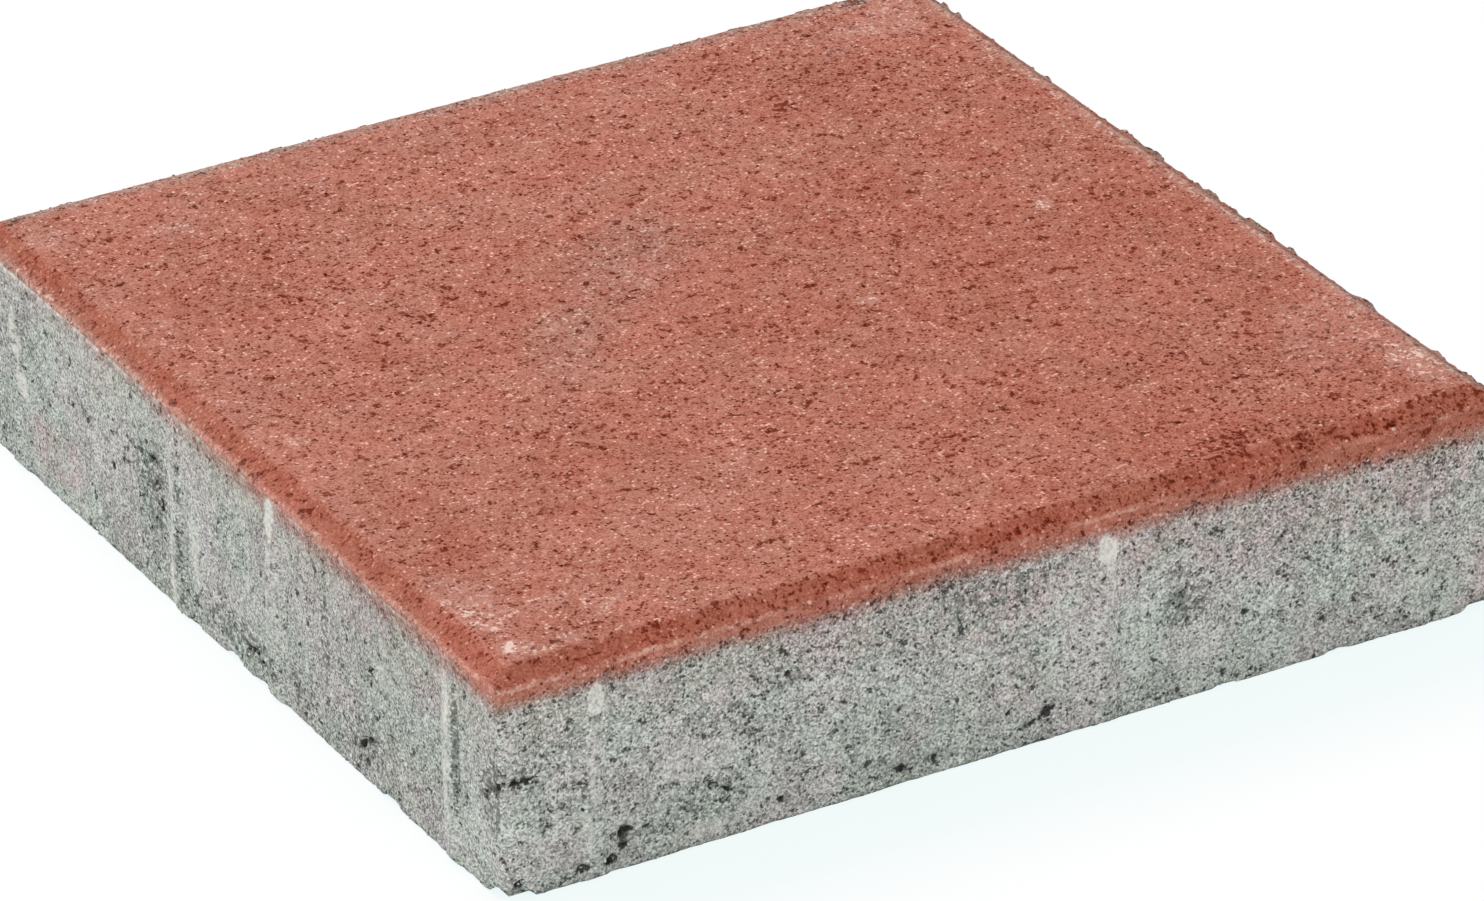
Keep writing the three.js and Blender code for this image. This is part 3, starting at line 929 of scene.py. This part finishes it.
crowd = times(tree, named(tree, "relief"), given["Grains per square metre"])
spots = add_node(tree, "GeometryNodeDistributePointsOnFaces", {
    "Mesh": given["Geometry"], "Density": crowd, "Seed": given["Seed"]})
radius = chance(tree, given, given["Smallest"], given["Largest"], 1)
stretch = chance(tree, given, THINNEST, WIDEST, 2, "FLOAT_VECTOR")
spin = chance(tree, given, (0, 0, 0), FULL_TURN, 3, "FLOAT_VECTOR")
drop = times(tree, times(tree, radius, given["Sunk"]), -1.0)
drop = scale_vector(tree, spots.outputs["Normal"], drop)
set_in = step(tree, "SetPosition", spots.outputs["Points"], Offset=drop)
ball = output(tree, "GeometryNodeMeshIcoSphere", {"Radius": 1.0, "Subdivisions": 1})
grain = step(tree, "SetShadeSmooth", ball, **{"Shade Smooth": False})
grains = output(tree, "GeometryNodeInstanceOnPoints", {
    "Points": set_in, "Instance": grain, "Rotation": spin,
    "Scale": scale_vector(tree, stretch, radius)})
grains = output(tree, "GeometryNodeStoreNamedAttribute", {
    "Geometry": grains, "Name": "tone", "Value": chance(tree, given, 0.0, 1.0, 4)},
    data_type="FLOAT", domain="INSTANCE")
grains = step(tree, "RealizeInstances", grains)
place = tree.nodes.new("GeometryNodeInputPosition").outputs[0]
grains = step(tree, "SetPosition", grains, Position=held_in(tree, place, given))
tree.links.new(step(tree, "SetMaterial", grains, Material=given["Finish"]), result)
sand_tree = tree
print("sand tree:", len(tree.nodes), "nodes")

# %% [markdown]
# ## Colour of the two concretes
# Both concretes are sand in cement paste, and only the facing holds iron-oxide pigment. Two separate
# materials would be simpler, but their sand wouldn't run on across the joint. So one shader group
# gives the colour that both share: soft clouds up to a hand wide, sand about half a millimetre across
# with each grain its own tone, pits darkened as painted shade, and red that runs into grey along the
# joint, grain by grain. It reads Object coordinates and the notes on the points, so it lies still on
# the stone.

# %% Helpers for finishes
def mix_colors(tree, share, first, second, blend="MIX"):
    """Mixes two colours by a share from 0 to 1."""
    facts = {0: share, 6: first, 7: second}
    return add_node(tree, "ShaderNodeMix", facts, data_type="RGBA", blend_type=blend).outputs[2]


def tinted(tree, color, tint):
    """A colour times a tint."""
    return mix_colors(tree, 1.0, color, tint, "MULTIPLY")


def stained(tree, color, share, tint):
    """A colour, tinted by a share from 0 to 1."""
    return mix_colors(tree, share, color, tinted(tree, color, tint))


def note(tree, name):
    """Reads one of the notes on the points."""
    return add_node(tree, "ShaderNodeAttribute", attribute_name=name).outputs["Fac"]


def ramp(tree, value, stops):
    """A number looked up on a ramp of (place, level or colour) stops."""
    node = add_node(tree, "ShaderNodeValToRGB", {0: value})
    points = node.color_ramp.elements
    while len(points) < len(stops):
        points.new(0.5)
    for point, (where, _) in zip(points, stops):
        point.position = where
    for point, (_, level) in zip(points, stops):
        point.color = (*level, 1) if isinstance(level, tuple) else (level, level, level, 1)
    return node.outputs[0]


def swing(tree, value, reach, total=0.0):
    """Adds a 0..1 value to a total as a swing of so much each way."""
    return plus(tree, total, calc(tree, "SUBTRACT", value, 0.5), 2 * reach)


print("helpers for finishes ready")

# %% Start the shared group: sand, specks and pits
SAND_SIZE = 0.50 * MM
SPECK_SIZE = 0.90 * MM
GROUP_OUTPUTS = {
    "Color": "Color", "Paste": "Color", "Speck": "Float", "Ragged": "Float", "Height": "Float"}

tree = concrete = bpy.data.node_groups.new("sand_and_cement", "ShaderNodeTree")
for label, kind in GROUP_OUTPUTS.items():
    tree.interface.new_socket(label, in_out="OUTPUT", socket_type="NodeSocket" + kind)
shared = tree.nodes.new("NodeGroupOutput")
place = add_node(tree, "ShaderNodeTexCoord").outputs["Object"]
cells = add_node(tree, "ShaderNodeTexVoronoi", {"Vector": place, "Scale": 1 / SAND_SIZE})
sand = add_node(tree, "ShaderNodeSeparateColor", {0: cells.outputs["Color"]})
specks = add_node(tree, "ShaderNodeTexVoronoi", {"Vector": place, "Scale": 1 / SPECK_SIZE})
speck = add_node(tree, "ShaderNodeSeparateColor", {0: specks.outputs["Color"]})
ragged = noise(tree, place, HOLE_SIZE, detail=4.0, rough=0.6)
pits = ramp_between(tree, ragged, *PIT_RAMP)
print("sand", round(SAND_SIZE / MM, 2), "mm, specks", round(SPECK_SIZE / MM, 2), "mm")

# %% [markdown]
# ### How red it is
# Where both concretes meet, wet paste and grains of each were pressed into the other. A plain blend
# would look sprayed, so the note on the points is shaken grain by grain and patch by patch, and a
# little red dust lies below.

# %% Redness
GRAIN_SHAKE, PATCH_SHAKE = 0.10, 0.16
PATCH_SIZE = 4 * MM
RED_RAMP = (-0.25, 0.75)
DUST_RAMP = (-1.8, 0.4, 0.0, 0.10)

share = swing(tree, sand.outputs[1], GRAIN_SHAKE, note(tree, "red_share"))
share = swing(tree, noise(tree, place, PATCH_SIZE), PATCH_SHAKE, share)
redness = calc(
    tree, "MAXIMUM", ramp_between(tree, share, *RED_RAMP), ramp_between(tree, share, *DUST_RAMP))
print("red sets in at a share of", RED_RAMP[0], "and is full at", RED_RAMP[1])

# %% [markdown]
# ### How light it is
# Specks, which come in crowds, and the seam where red meets grey make a spot lighter or darker, and
# pits are darkened as painted shade. Each could be mixed in as a colour, but one tone around 0.5 that
# gathers them is easier to balance. Steel calmed all that where it slicked the surface. A worn edge is
# lighter in the red and darker in the grey.

# %% Tone
SPECK_CROWDS, CROWDING = 5 * MM, 0.45
SPECK_LEVELS = ((0.0, 0.06), (0.07, 0.21), (0.13, 0.5), (0.88, 0.5), (0.94, 0.8), (1.0, 1.0))
SPECK_OUTLINE = (0.62, 0.38)
# Pits are darkened here as painted shade
IN_SPECK, PIT_SHADE, IN_SEAM, ON_EDGE = 0.85, -0.42, -0.26, 0.38
CALMED = -0.35
EDGE_TURNS = 0.45  # a worn edge is darker under this redness, and lighter over it

crowd = swing(tree, noise(tree, place, SPECK_CROWDS, detail=3.0), CROWDING, speck.outputs[0])
level = calc(tree, "SUBTRACT", ramp(tree, crowd, SPECK_LEVELS), 0.5)
outline = ramp_between(tree, specks.outputs["Distance"], *SPECK_OUTLINE)
speck_swing = times(tree, level, outline)
seam = times(tree, redness, calc(tree, "SUBTRACT", 1.0, redness))
tone = plus(tree, 0.5, speck_swing, IN_SPECK, pits, PIT_SHADE, seam, IN_SEAM)
calm = plus(tree, 1.0, note(tree, "chamfer"), CALMED)
edge = times(tree, note(tree, "edge"), calc(tree, "SUBTRACT", redness, EDGE_TURNS))
tone = plus(tree, 0.5, calc(tree, "SUBTRACT", tone, 0.5), calm, edge, ON_EDGE)
print("levels of the specks:", [level for _, level in SPECK_LEVELS])

# %% [markdown]
# ### The colour
# Each concrete looks its tone up on its own ramp, because its dark tones are deep and its light ones
# chalky, which a plain change of brightness can't give. Before that, each grain of sand and clouds of
# four sizes shift the tone, and dark clumps stand in the red. Patches of a warmer and a cooler tint
# keep it from looking printed. The bump's height comes from the same sand, specks and pits.

# %% Colour and height
SAND_IN_GREY, SAND_IN_RED = 0.24, 0.13
MOTTLING = (  # size of the clouds, swing in the grey and in the red
    (2 * MM, 0.09, 0.11), (6 * MM, 0.10, 0.085), (15 * MM, 0.10, 0.08), (50 * MM, 0.09, 0.06))
CLUMP_SIZE, CLUMP_RAMP, IN_CLUMP = 4 * MM, (0.39, 0.30), -0.25
GREY_CONTRAST, RED_CONTRAST = 0.68, 0.72
GREY_TONES = (
    (0.0, (0.105, 0.102, 0.096)), (0.25, (0.345, 0.338, 0.318)), (0.5, (0.595, 0.585, 0.550)),
    (0.75, (0.860, 0.855, 0.815)), (1.0, (0.990, 0.985, 0.950)))
RED_TONES = (
    (0.0, (0.176, 0.031, 0.015)), (0.25, (0.355, 0.099, 0.061)), (0.5, (0.518, 0.198, 0.143)),
    (0.75, (0.668, 0.298, 0.231)), (1.0, (0.880, 0.530, 0.443)))
TINT_SIZE = 18 * MM
GREY_TINTS = (0.96, 1.045, 1.01), (1.02, 1.005, 1.03)
RED_TINTS = (0.985, 1.03, 1.03), (1.015, 0.97, 0.96)
SAND_DOME, PIT_DEEP, SAND_STEP, SPECK_STEP = -0.5, -0.9, 0.25, 0.8  # in the height, in grains

grey_tone = swing(tree, sand.outputs[0], SAND_IN_GREY, tone)
red_tone = swing(tree, sand.outputs[0], SAND_IN_RED, tone)
for size, in_grey, in_red in MOTTLING:
    cloud = noise(tree, place, size)
    grey_tone = swing(tree, cloud, in_grey, grey_tone)
    red_tone = swing(tree, cloud, in_red, red_tone)
red_tone = plus(tree, red_tone, patches(tree, place, CLUMP_SIZE, *CLUMP_RAMP), IN_CLUMP)
grey = ramp(tree, swing(tree, grey_tone, GREY_CONTRAST, 0.5), GREY_TONES)
red = ramp(tree, swing(tree, red_tone, RED_CONTRAST, 0.5), RED_TONES)
tint = patches(tree, place, TINT_SIZE)
grey = tinted(tree, grey, mix_colors(tree, tint, *GREY_TINTS))
red = tinted(tree, red, mix_colors(tree, tint, *RED_TINTS))
color = mix_colors(tree, redness, grey, red)

height = times(tree, cells.outputs["Distance"], SAND_DOME)
height = plus(tree, height, pits, PIT_DEEP, sand.outputs[0], SAND_STEP, speck_swing, SPECK_STEP)
for label, value in zip(GROUP_OUTPUTS, (color, grey, speck.outputs[1], ragged, height)):
    tree.links.new(value, shared.inputs[label])
print("shared group:", len(tree.nodes), "nodes")

# %% [markdown]
# ## Coats of the two skins
# Marks lie over the shared colour. Where steel rubbed the red it is deeper, and voids get painted
# shade inside. The notes alone would show as smooth ellipses, so noise breaks each kind of mark up
# into a ragged outline, as it follows the grain of the sand.

# %% Helpers for marks
SLICK_TINT = (0.82, 0.62, 0.54)
# How the painted shade inside the voids sets in
HOLE_SHADE_RAMP = (0.25, 0.75, 0.0, 0.93)
MARK_RAMP = ((0.42, 0.1), (0.56, 0.6))  # where a mark sets in and is full, and the bite's part in it
MARK_GAIN = 1.5


def shade_holes(tree, group, color, dark):
    """Paints shade inside the voids, with the same ragged outline as their shape."""
    hollow = ramp_between(tree, group.outputs["Ragged"], *HOLLOW_RAMP)
    hollow = times(tree, hollow, note(tree, "void"))
    return mix_colors(tree, ramp_between(tree, hollow, *HOLE_SHADE_RAMP), color, dark)


def ragged_mark(tree, place, name, size, bite):
    """A note with its soft outline broken up by noise: weak parts turn into scattered patches."""
    amount = note(tree, name)
    broken = plus(tree, noise(tree, place, size, detail=3.0), amount, bite)
    broken = ramp_between(tree, broken, *(start + part * bite for start, part in MARK_RAMP))
    return times(tree, broken, calc(tree, "MINIMUM", times(tree, amount, MARK_GAIN), 1.0))


def slicked(tree, color):
    """The colour, deepened where steel rubbed it."""
    return stained(tree, color, note(tree, "chamfer"), SLICK_TINT)


print("slick red", [round(level * tint, 3) for level, tint in zip(RED_TONES[2][1], SLICK_TINT)])

# %% [markdown]
# ### The red coat
# On the facing, a greyish smear of paste crosses the middle, and the crumbled far edge gets a
# greyish painted sheen and painted shade on its crumbs. Damp and dirt leave dark spots, and lime
# blooms pale at the corners; the same pale paints highlights along the arris and the far brow. Lime
# keeps to single grains, so the bloom is a crowd of light specks over a thin even veil.

# %% Coat the red concrete
PASTE_AND_SHEEN_TINT, DIRT_AND_SHADE_TINT = (0.60, 0.50, 0.46), (0.45, 0.25, 0.20)
# The lime colour also paints highlights along the arris and the far brow, and the colour of the holes
# paints shade inside the voids
LIME_AND_HIGHLIGHT_ON_RED, RED_HOLE_SHADE = (0.94, 0.68, 0.59), (0.05, 0.02, 0.015)
SMEAR_AND_SHEEN_SIZE, SMEAR_AND_SHEEN_RAMP = 5 * MM, (0.38, 0.62, 0.5, 1.1)
SPOT_SIZE, SPOT_BITE, SPOT_RAMP = 1.5 * MM, 0.22, (0.64, 0.78)
LIME_AND_HIGHLIGHT_SIZE, LIME_AND_HIGHLIGHT_BITE, LIME_AND_HIGHLIGHT_RAMP = 2.2 * MM, 0.26, (0.85, 0.95)
LIME_AND_HIGHLIGHT_SWING, LIME_AND_HIGHLIGHT_SPECKS, LIME_AND_HIGHLIGHT_VEIL = 0.30, 0.82, 0.15


def red_coat(tree, group):
    """Colour of the pigmented facing with its marks."""
    place = add_node(tree, "ShaderNodeTexCoord").outputs["Object"]
    color = slicked(tree, group.outputs["Color"])
    # Smears of paste, and a greyish painted sheen on the far edge
    smear_and_sheen = times(tree, note(tree, "smudge"), patches(tree, place, SMEAR_AND_SHEEN_SIZE, *SMEAR_AND_SHEEN_RAMP))
    color = mix_colors(tree, smear_and_sheen, color, tinted(tree, group.outputs["Paste"], PASTE_AND_SHEEN_TINT))
    # Dirt and damp spots, and painted shade on the far crumbs
    spots = plus(tree, noise(tree, place, SPOT_SIZE, detail=1.0), note(tree, "stain"), SPOT_BITE)
    color = stained(tree, color, ramp_between(tree, spots, *SPOT_RAMP), DIRT_AND_SHADE_TINT)
    # Lime bloom, and painted highlights along the arris and the far brow
    pale = note(tree, "pale")
    lime_and_highlight = swing(tree, group.outputs["Speck"], LIME_AND_HIGHLIGHT_SWING, noise(tree, place, LIME_AND_HIGHLIGHT_SIZE))
    lime_and_highlight = ramp_between(tree, plus(tree, lime_and_highlight, pale, LIME_AND_HIGHLIGHT_BITE), *LIME_AND_HIGHLIGHT_RAMP)
    lime_and_highlight = plus(tree, LIME_AND_HIGHLIGHT_VEIL, lime_and_highlight, LIME_AND_HIGHLIGHT_SPECKS)
    lime_and_highlight = times(tree, calc(tree, "MINIMUM", pale, 1.0), lime_and_highlight)
    color = mix_colors(tree, lime_and_highlight, color, LIME_AND_HIGHLIGHT_ON_RED)
    return shade_holes(tree, group, color, RED_HOLE_SHADE)


print("lime on red", LIME_AND_HIGHLIGHT_ON_RED)

# %% [markdown]
# ### The grey coat
# The wall of the mould drags faint upright streaks down the base. Damp soaks into some grains and
# leaves others dry, and the same mark paints shade on the shaded flank of some nibs. A blush of
# pigment has washed down from the facing. The nib tips are partly scuffed pale and partly painted
# lighter as a highlight, and the lit flank of some nibs gets a painted highlight.

# %% Coat the grey concrete
# The wet tint also paints shade on the shaded flank of some nibs
BLUSH_TINT, WET_AND_SHADE_TINT = (0.99, 0.86, 0.86), (0.42, 0.44, 0.43)
# The lime colour also paints highlights on the nibs, and the colour of the holes paints shade inside
# the voids
LIME_AND_HIGHLIGHT_ON_GREY, GREY_HOLE_SHADE = (0.95, 0.94, 0.87), (0.025, 0.026, 0.024)
DRAG_SQUEEZE = (1.0, 1.0, 0.06)  # draws the noise out upright
DRAG_SIZE, DRAG_RAMP, DRAG_LEVELS = 3 * MM, (0.3, 0.7), ((0.0, 0.86), (1.0, 1.0))
BLUSH_SIZE, BLUSH_RAMP = 5 * MM, (0.38, 0.62, 0.2, 1.0)
DAMP_AND_SHADE_SIZE, DAMP_AND_SHADE_BITE, DAMP_AND_SHADE_RAMP, SPARED_GRAINS = 2.4 * MM, 0.3, (0.0, 0.4), -0.7
SCUFF_AND_HIGHLIGHT_SIZE, SCUFF_AND_HIGHLIGHT_BITE, SCUFF_AND_HIGHLIGHT_MOST = 2.5 * MM, 0.4, 0.95
SCUFF_AND_HIGHLIGHT_LEVEL, SCUFF_AND_HIGHLIGHT_SWING = 0.8, 0.3  # from grain to grain


def grey_coat(tree, group):
    """Colour of the plain base concrete with its marks."""
    place = add_node(tree, "ShaderNodeTexCoord").outputs["Object"]
    speck = group.outputs["Speck"]
    color = slicked(tree, group.outputs["Color"])
    stretched = calc_vector(tree, "MULTIPLY", place, DRAG_SQUEEZE)
    drag = ramp_between(
        tree, noise(tree, stretched, DRAG_SIZE, detail=4.0, rough=0.6), *DRAG_RAMP)
    color = tinted(tree, color, ramp(tree, drag, DRAG_LEVELS))
    blush = times(tree, note(tree, "smudge"), patches(tree, place, BLUSH_SIZE, *BLUSH_RAMP))
    color = stained(tree, color, blush, BLUSH_TINT)
    # Damp, and painted shade on the shaded flank of some nibs
    damp_and_shade = plus(tree, ragged_mark(tree, place, "stain", DAMP_AND_SHADE_SIZE, DAMP_AND_SHADE_BITE), speck, SPARED_GRAINS)
    color = stained(tree, color, ramp_between(tree, damp_and_shade, *DAMP_AND_SHADE_RAMP), WET_AND_SHADE_TINT)
    # Scuffs and lime, and painted highlights on the nib tips and lit nib flanks
    scuff_and_highlight = ragged_mark(tree, place, "pale", SCUFF_AND_HIGHLIGHT_SIZE, SCUFF_AND_HIGHLIGHT_BITE)
    scuff_and_highlight = times(tree, swing(tree, speck, SCUFF_AND_HIGHLIGHT_SWING, SCUFF_AND_HIGHLIGHT_LEVEL), scuff_and_highlight)
    color = mix_colors(tree, calc(tree, "MINIMUM", scuff_and_highlight, SCUFF_AND_HIGHLIGHT_MOST), color, LIME_AND_HIGHLIGHT_ON_GREY)
    return shade_holes(tree, group, color, GREY_HOLE_SHADE)


print("lime on grey", LIME_AND_HIGHLIGHT_ON_GREY)

# %% [markdown]
# ### The four finishes
# Each skin wears its coat. Its finest sand could be modelled too, but would take millions of faces,
# so a bump gives it. The loose-set grains wear the coat too, each in its own tone, and the lightest
# of them are quartz.

# %% Helpers that make a finish
SKIN_ROUGH, GRAIN_ROUGH, SHINE = 0.93, 0.8, 0.06
QUARTZ_STEP, QUARTZ_SHARE = 0.01, 0.7


def new_finish(name, coat, roughness):
    """A material with the shared group. Returns it, its tree, shader, group and coat of colour."""
    finish = bpy.data.materials.new(name)
    finish.use_nodes = True
    tree = finish.node_tree
    shader = tree.nodes["Principled BSDF"]
    shader.inputs["Roughness"].default_value = roughness
    shader.inputs["Specular IOR Level"].default_value = SHINE
    group = add_node(tree, "ShaderNodeGroup", node_tree=concrete)
    return finish, tree, shader, group, coat(tree, group)


def skin_finish(name, coat, depth):
    """A skin: its coat, and bump from the group's height, which is in sand grains."""
    finish, tree, shader, group, color = new_finish(name, coat, SKIN_ROUGH)
    facts = {"Height": group.outputs["Height"], "Distance": depth, "Strength": 1.0}
    tree.links.new(color, shader.inputs["Base Color"])
    tree.links.new(output(tree, "ShaderNodeBump", facts), shader.inputs["Normal"])
    return finish


def sand_finish(name, coat, stops, quartz, quartz_above):
    """Grains that stand out: the skin's colour with the grain's own tone on it, or pale quartz."""
    finish, tree, shader, _, color = new_finish(name, coat, GRAIN_ROUGH)
    tone = note(tree, "tone")
    color = tinted(tree, color, ramp(tree, tone, stops))
    is_quartz = ramp_between(
        tree, tone, quartz_above - QUARTZ_STEP, quartz_above, 0.0, QUARTZ_SHARE)
    tree.links.new(mix_colors(tree, is_quartz, color, quartz), shader.inputs["Base Color"])
    return finish


print("roughness of the skins", SKIN_ROUGH, "and of the grains", GRAIN_ROUGH)

# %% Make the finishes
RED_GRAINS = ((0.0, (0.35, 0.16, 0.11)), (0.2, (0.75, 0.60, 0.55)), (0.4, (1.0, 1.0, 1.0)))
GREY_GRAINS = ((0.0, 0.35), (0.14, 0.75), (0.3, 1.0))
RED_QUARTZ, GREY_QUARTZ = (0.90, 0.58, 0.47), (0.97, 0.97, 0.92)
RED_QUARTZ_ABOVE, GREY_QUARTZ_ABOVE = 0.89, 0.84  # of the grain's random tone
RED_BUMP, GREY_BUMP = 0.17 * MM, 0.28 * MM

red_concrete = skin_finish("red_facing_concrete", red_coat, RED_BUMP)
grey_concrete = skin_finish("grey_base_concrete", grey_coat, GREY_BUMP)
red_sand_grain = sand_finish("red_sand", red_coat, RED_GRAINS, RED_QUARTZ, RED_QUARTZ_ABOVE)
grey_sand_grain = sand_finish("grey_sand", grey_coat, GREY_GRAINS, GREY_QUARTZ, GREY_QUARTZ_ABOVE)
print("finishes:", [m.name for m in bpy.data.materials if "concrete" in m.name or "sand" in m.name])

# %% [markdown]
# ## Shape and dress the stone
# Each skin goes through the relief tree, and each shaped skin then gets its sand. Nothing may stand
# out of the block, so both trees hold their points inside it.

# %% Shape both skins
LOWEST, HIGHEST = Vector(cad_low), Vector(cad_high)
GRAIN_ROOM = 0.1 * MM  # the skin stays this much below the block's top
SKIN_VALUES = {
    "Wave size": 22 * MM, "Wave depth": 0.5 * MM, "Lump size": 3.2 * MM, "Lump depth": 0.5 * MM,
    "Grit size": 0.8 * MM, "Grit depth": 0.35 * MM, "Wear size": 3.5 * MM, "Wear depth": 0.5 * MM,
    "Hole size": HOLE_SIZE, "Pit depth": 0.4 * MM,
    "Lowest": LOWEST, "Highest": HIGHEST - Vector((0, 0, GRAIN_ROOM)),
}


def shaped_skin(name, shell, finish):
    """A piece made of a shell with its relief."""
    piece = new_piece(name, shell.mesh(name))
    return apply_tree(piece, relief_tree, {**SKIN_VALUES, "Finish": finish})


grey_base = shaped_skin("grey_base", base, grey_concrete)
red_facing = shaped_skin("red_facing", facing, red_concrete)
for piece in (grey_base, red_facing):
    print(piece.name, len(piece.data.vertices), "points,", len(piece.data.polygons), "faces")

# %% [markdown]
# ### The sand on the skins
# A copy of each shaped skin goes through the sand tree, which leaves only the grains. They could be
# joined to the skin, but as a piece of their own they keep both meshes small, and they can be hidden
# while the skin is worked on.

# %% Scatter the sand
GRAIN_FACES = 20
SAND_VALUES = {
    "Grains per square metre": 84000.0,  # at full relief
    "Smallest": 0.28 * MM, "Largest": 0.62 * MM, "Sunk": 0.35, "Lowest": LOWEST, "Highest": HIGHEST,
}


def scatter_sand(name, skin, finish, seed):
    """A piece made of the grains that stand out of a skin."""
    piece = new_piece(name, skin.data.copy())
    return apply_tree(piece, sand_tree, {**SAND_VALUES, "Seed": seed, "Finish": finish})


base_sand = scatter_sand("base_sand_grains", grey_base, grey_sand_grain, 3)
facing_sand = scatter_sand("facing_sand_grains", red_facing, red_sand_grain, 4)
for piece in (base_sand, facing_sand):
    print(piece.name, len(piece.data.polygons) // GRAIN_FACES, "grains")

# %% [markdown]
# ## Floor and light
# The stone lies on a near-white ground with a faint shadow. A plain white floor would turn grey in
# the shade, so what the camera sees of this one is mostly its own glow, and the light that it throws
# back on the stone is that of plain pale paint. A wide soft lamp from behind and a little to the left
# lights the walking face most, and a weak, wider one from the front helps the white sky to fill in
# the sides, so the two front faces read apart.

# %% Lay the floor
FLOOR_HALF = 6.0
FLOOR_PAINT, FLOOR_VEIL, FLOOR_GLOW = (0.80, 0.81, 0.81), (0.95, 0.42, 0.42), (1.03, 1.20, 1.20)
GLOW_SHARE = 0.75


def seen_at_once(tree):
    """1 for what the camera sees, in reflections too, and 0 for all other light."""
    light = add_node(tree, "ShaderNodeLightPath")
    seen = calc(tree, "MAXIMUM", light.outputs["Is Camera Ray"], light.outputs["Is Glossy Ray"])
    return calc(tree, "MAXIMUM", seen, light.outputs["Is Transmission Ray"])


finish = bpy.data.materials.new("pale_floor")
finish.use_nodes = True
tree = finish.node_tree
tree.nodes.clear()
paint = output(tree, "ShaderNodeBsdfDiffuse", {"Color": FLOOR_PAINT})
veil = output(tree, "ShaderNodeBsdfDiffuse", {"Color": FLOOR_VEIL})
glow = output(tree, "ShaderNodeEmission", {"Color": FLOOR_GLOW, "Strength": 1.0})
seen = output(tree, "ShaderNodeMixShader", {0: GLOW_SHARE, 1: veil, 2: glow})
both = output(tree, "ShaderNodeMixShader", {0: seen_at_once(tree), 1: paint, 2: seen})
add_node(tree, "ShaderNodeOutputMaterial", {"Surface": both})

floor_data = bpy.data.meshes.new("floor")
corners = [(x * FLOOR_HALF, y * FLOOR_HALF, 0) for x, y in ((-1, -1), (1, -1), (1, 1), (-1, 1))]
floor_data.from_pydata(corners, [], [(0, 1, 2, 3)])
floor_data.materials.append(finish)
floor = new_piece("floor", floor_data)
print("floor", 2 * FLOOR_HALF, "m wide")

# %% Hang the lamps and fill the sky
LAMPS = (  # name, towards the lamp, energy, angle in degrees
    ("window_light", (-0.10, 0.37, 0.55), 1.5, 30),
    ("front_fill", (-0.45, -0.88, 0.12), 0.75, 60),
)
SKY_LIGHT, SKY_SEEN = 0.55, 1.0

for name, towards, energy, angle in LAMPS:
    lamp_data = bpy.data.lights.new(name, "SUN")
    lamp_data.energy = energy
    lamp_data.angle = math.radians(angle)
    lamp = new_piece(name, lamp_data)
    lamp.rotation_euler = Vector(towards).normalized().to_track_quat("Z", "Y").to_euler()

sky = bpy.data.worlds.new("white_sky")
bpy.context.scene.world = sky
sky.use_nodes = True
tree = sky.node_tree
tree.nodes.clear()
level = ramp_between(tree, seen_at_once(tree), 0.0, 1.0, SKY_LIGHT, SKY_SEEN)
glow = output(tree, "ShaderNodeBackground", {"Color": (1.0, 1.0, 1.0), "Strength": level})
add_node(tree, "ShaderNodeOutputWorld", {"Surface": glow})
bpy.context.scene.view_settings.view_transform = "Standard"
print("lamps:", [lamp[0] for lamp in LAMPS])

# %% [markdown]
# ## Hand the pieces to the frame
# Nothing on a paving stone moves, so every piece rides on the one body. The imported solids are
# hidden, so the skins show in their place, and the sand grains ride along with them.

for piece, slot in (
    (grey_base, "base_concrete"), (base_sand, "base_concrete"),
    (red_facing, "face_concrete"), (facing_sand, "face_concrete"),
):
    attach(piece, "root")
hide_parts("base_concrete")
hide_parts("face_concrete")
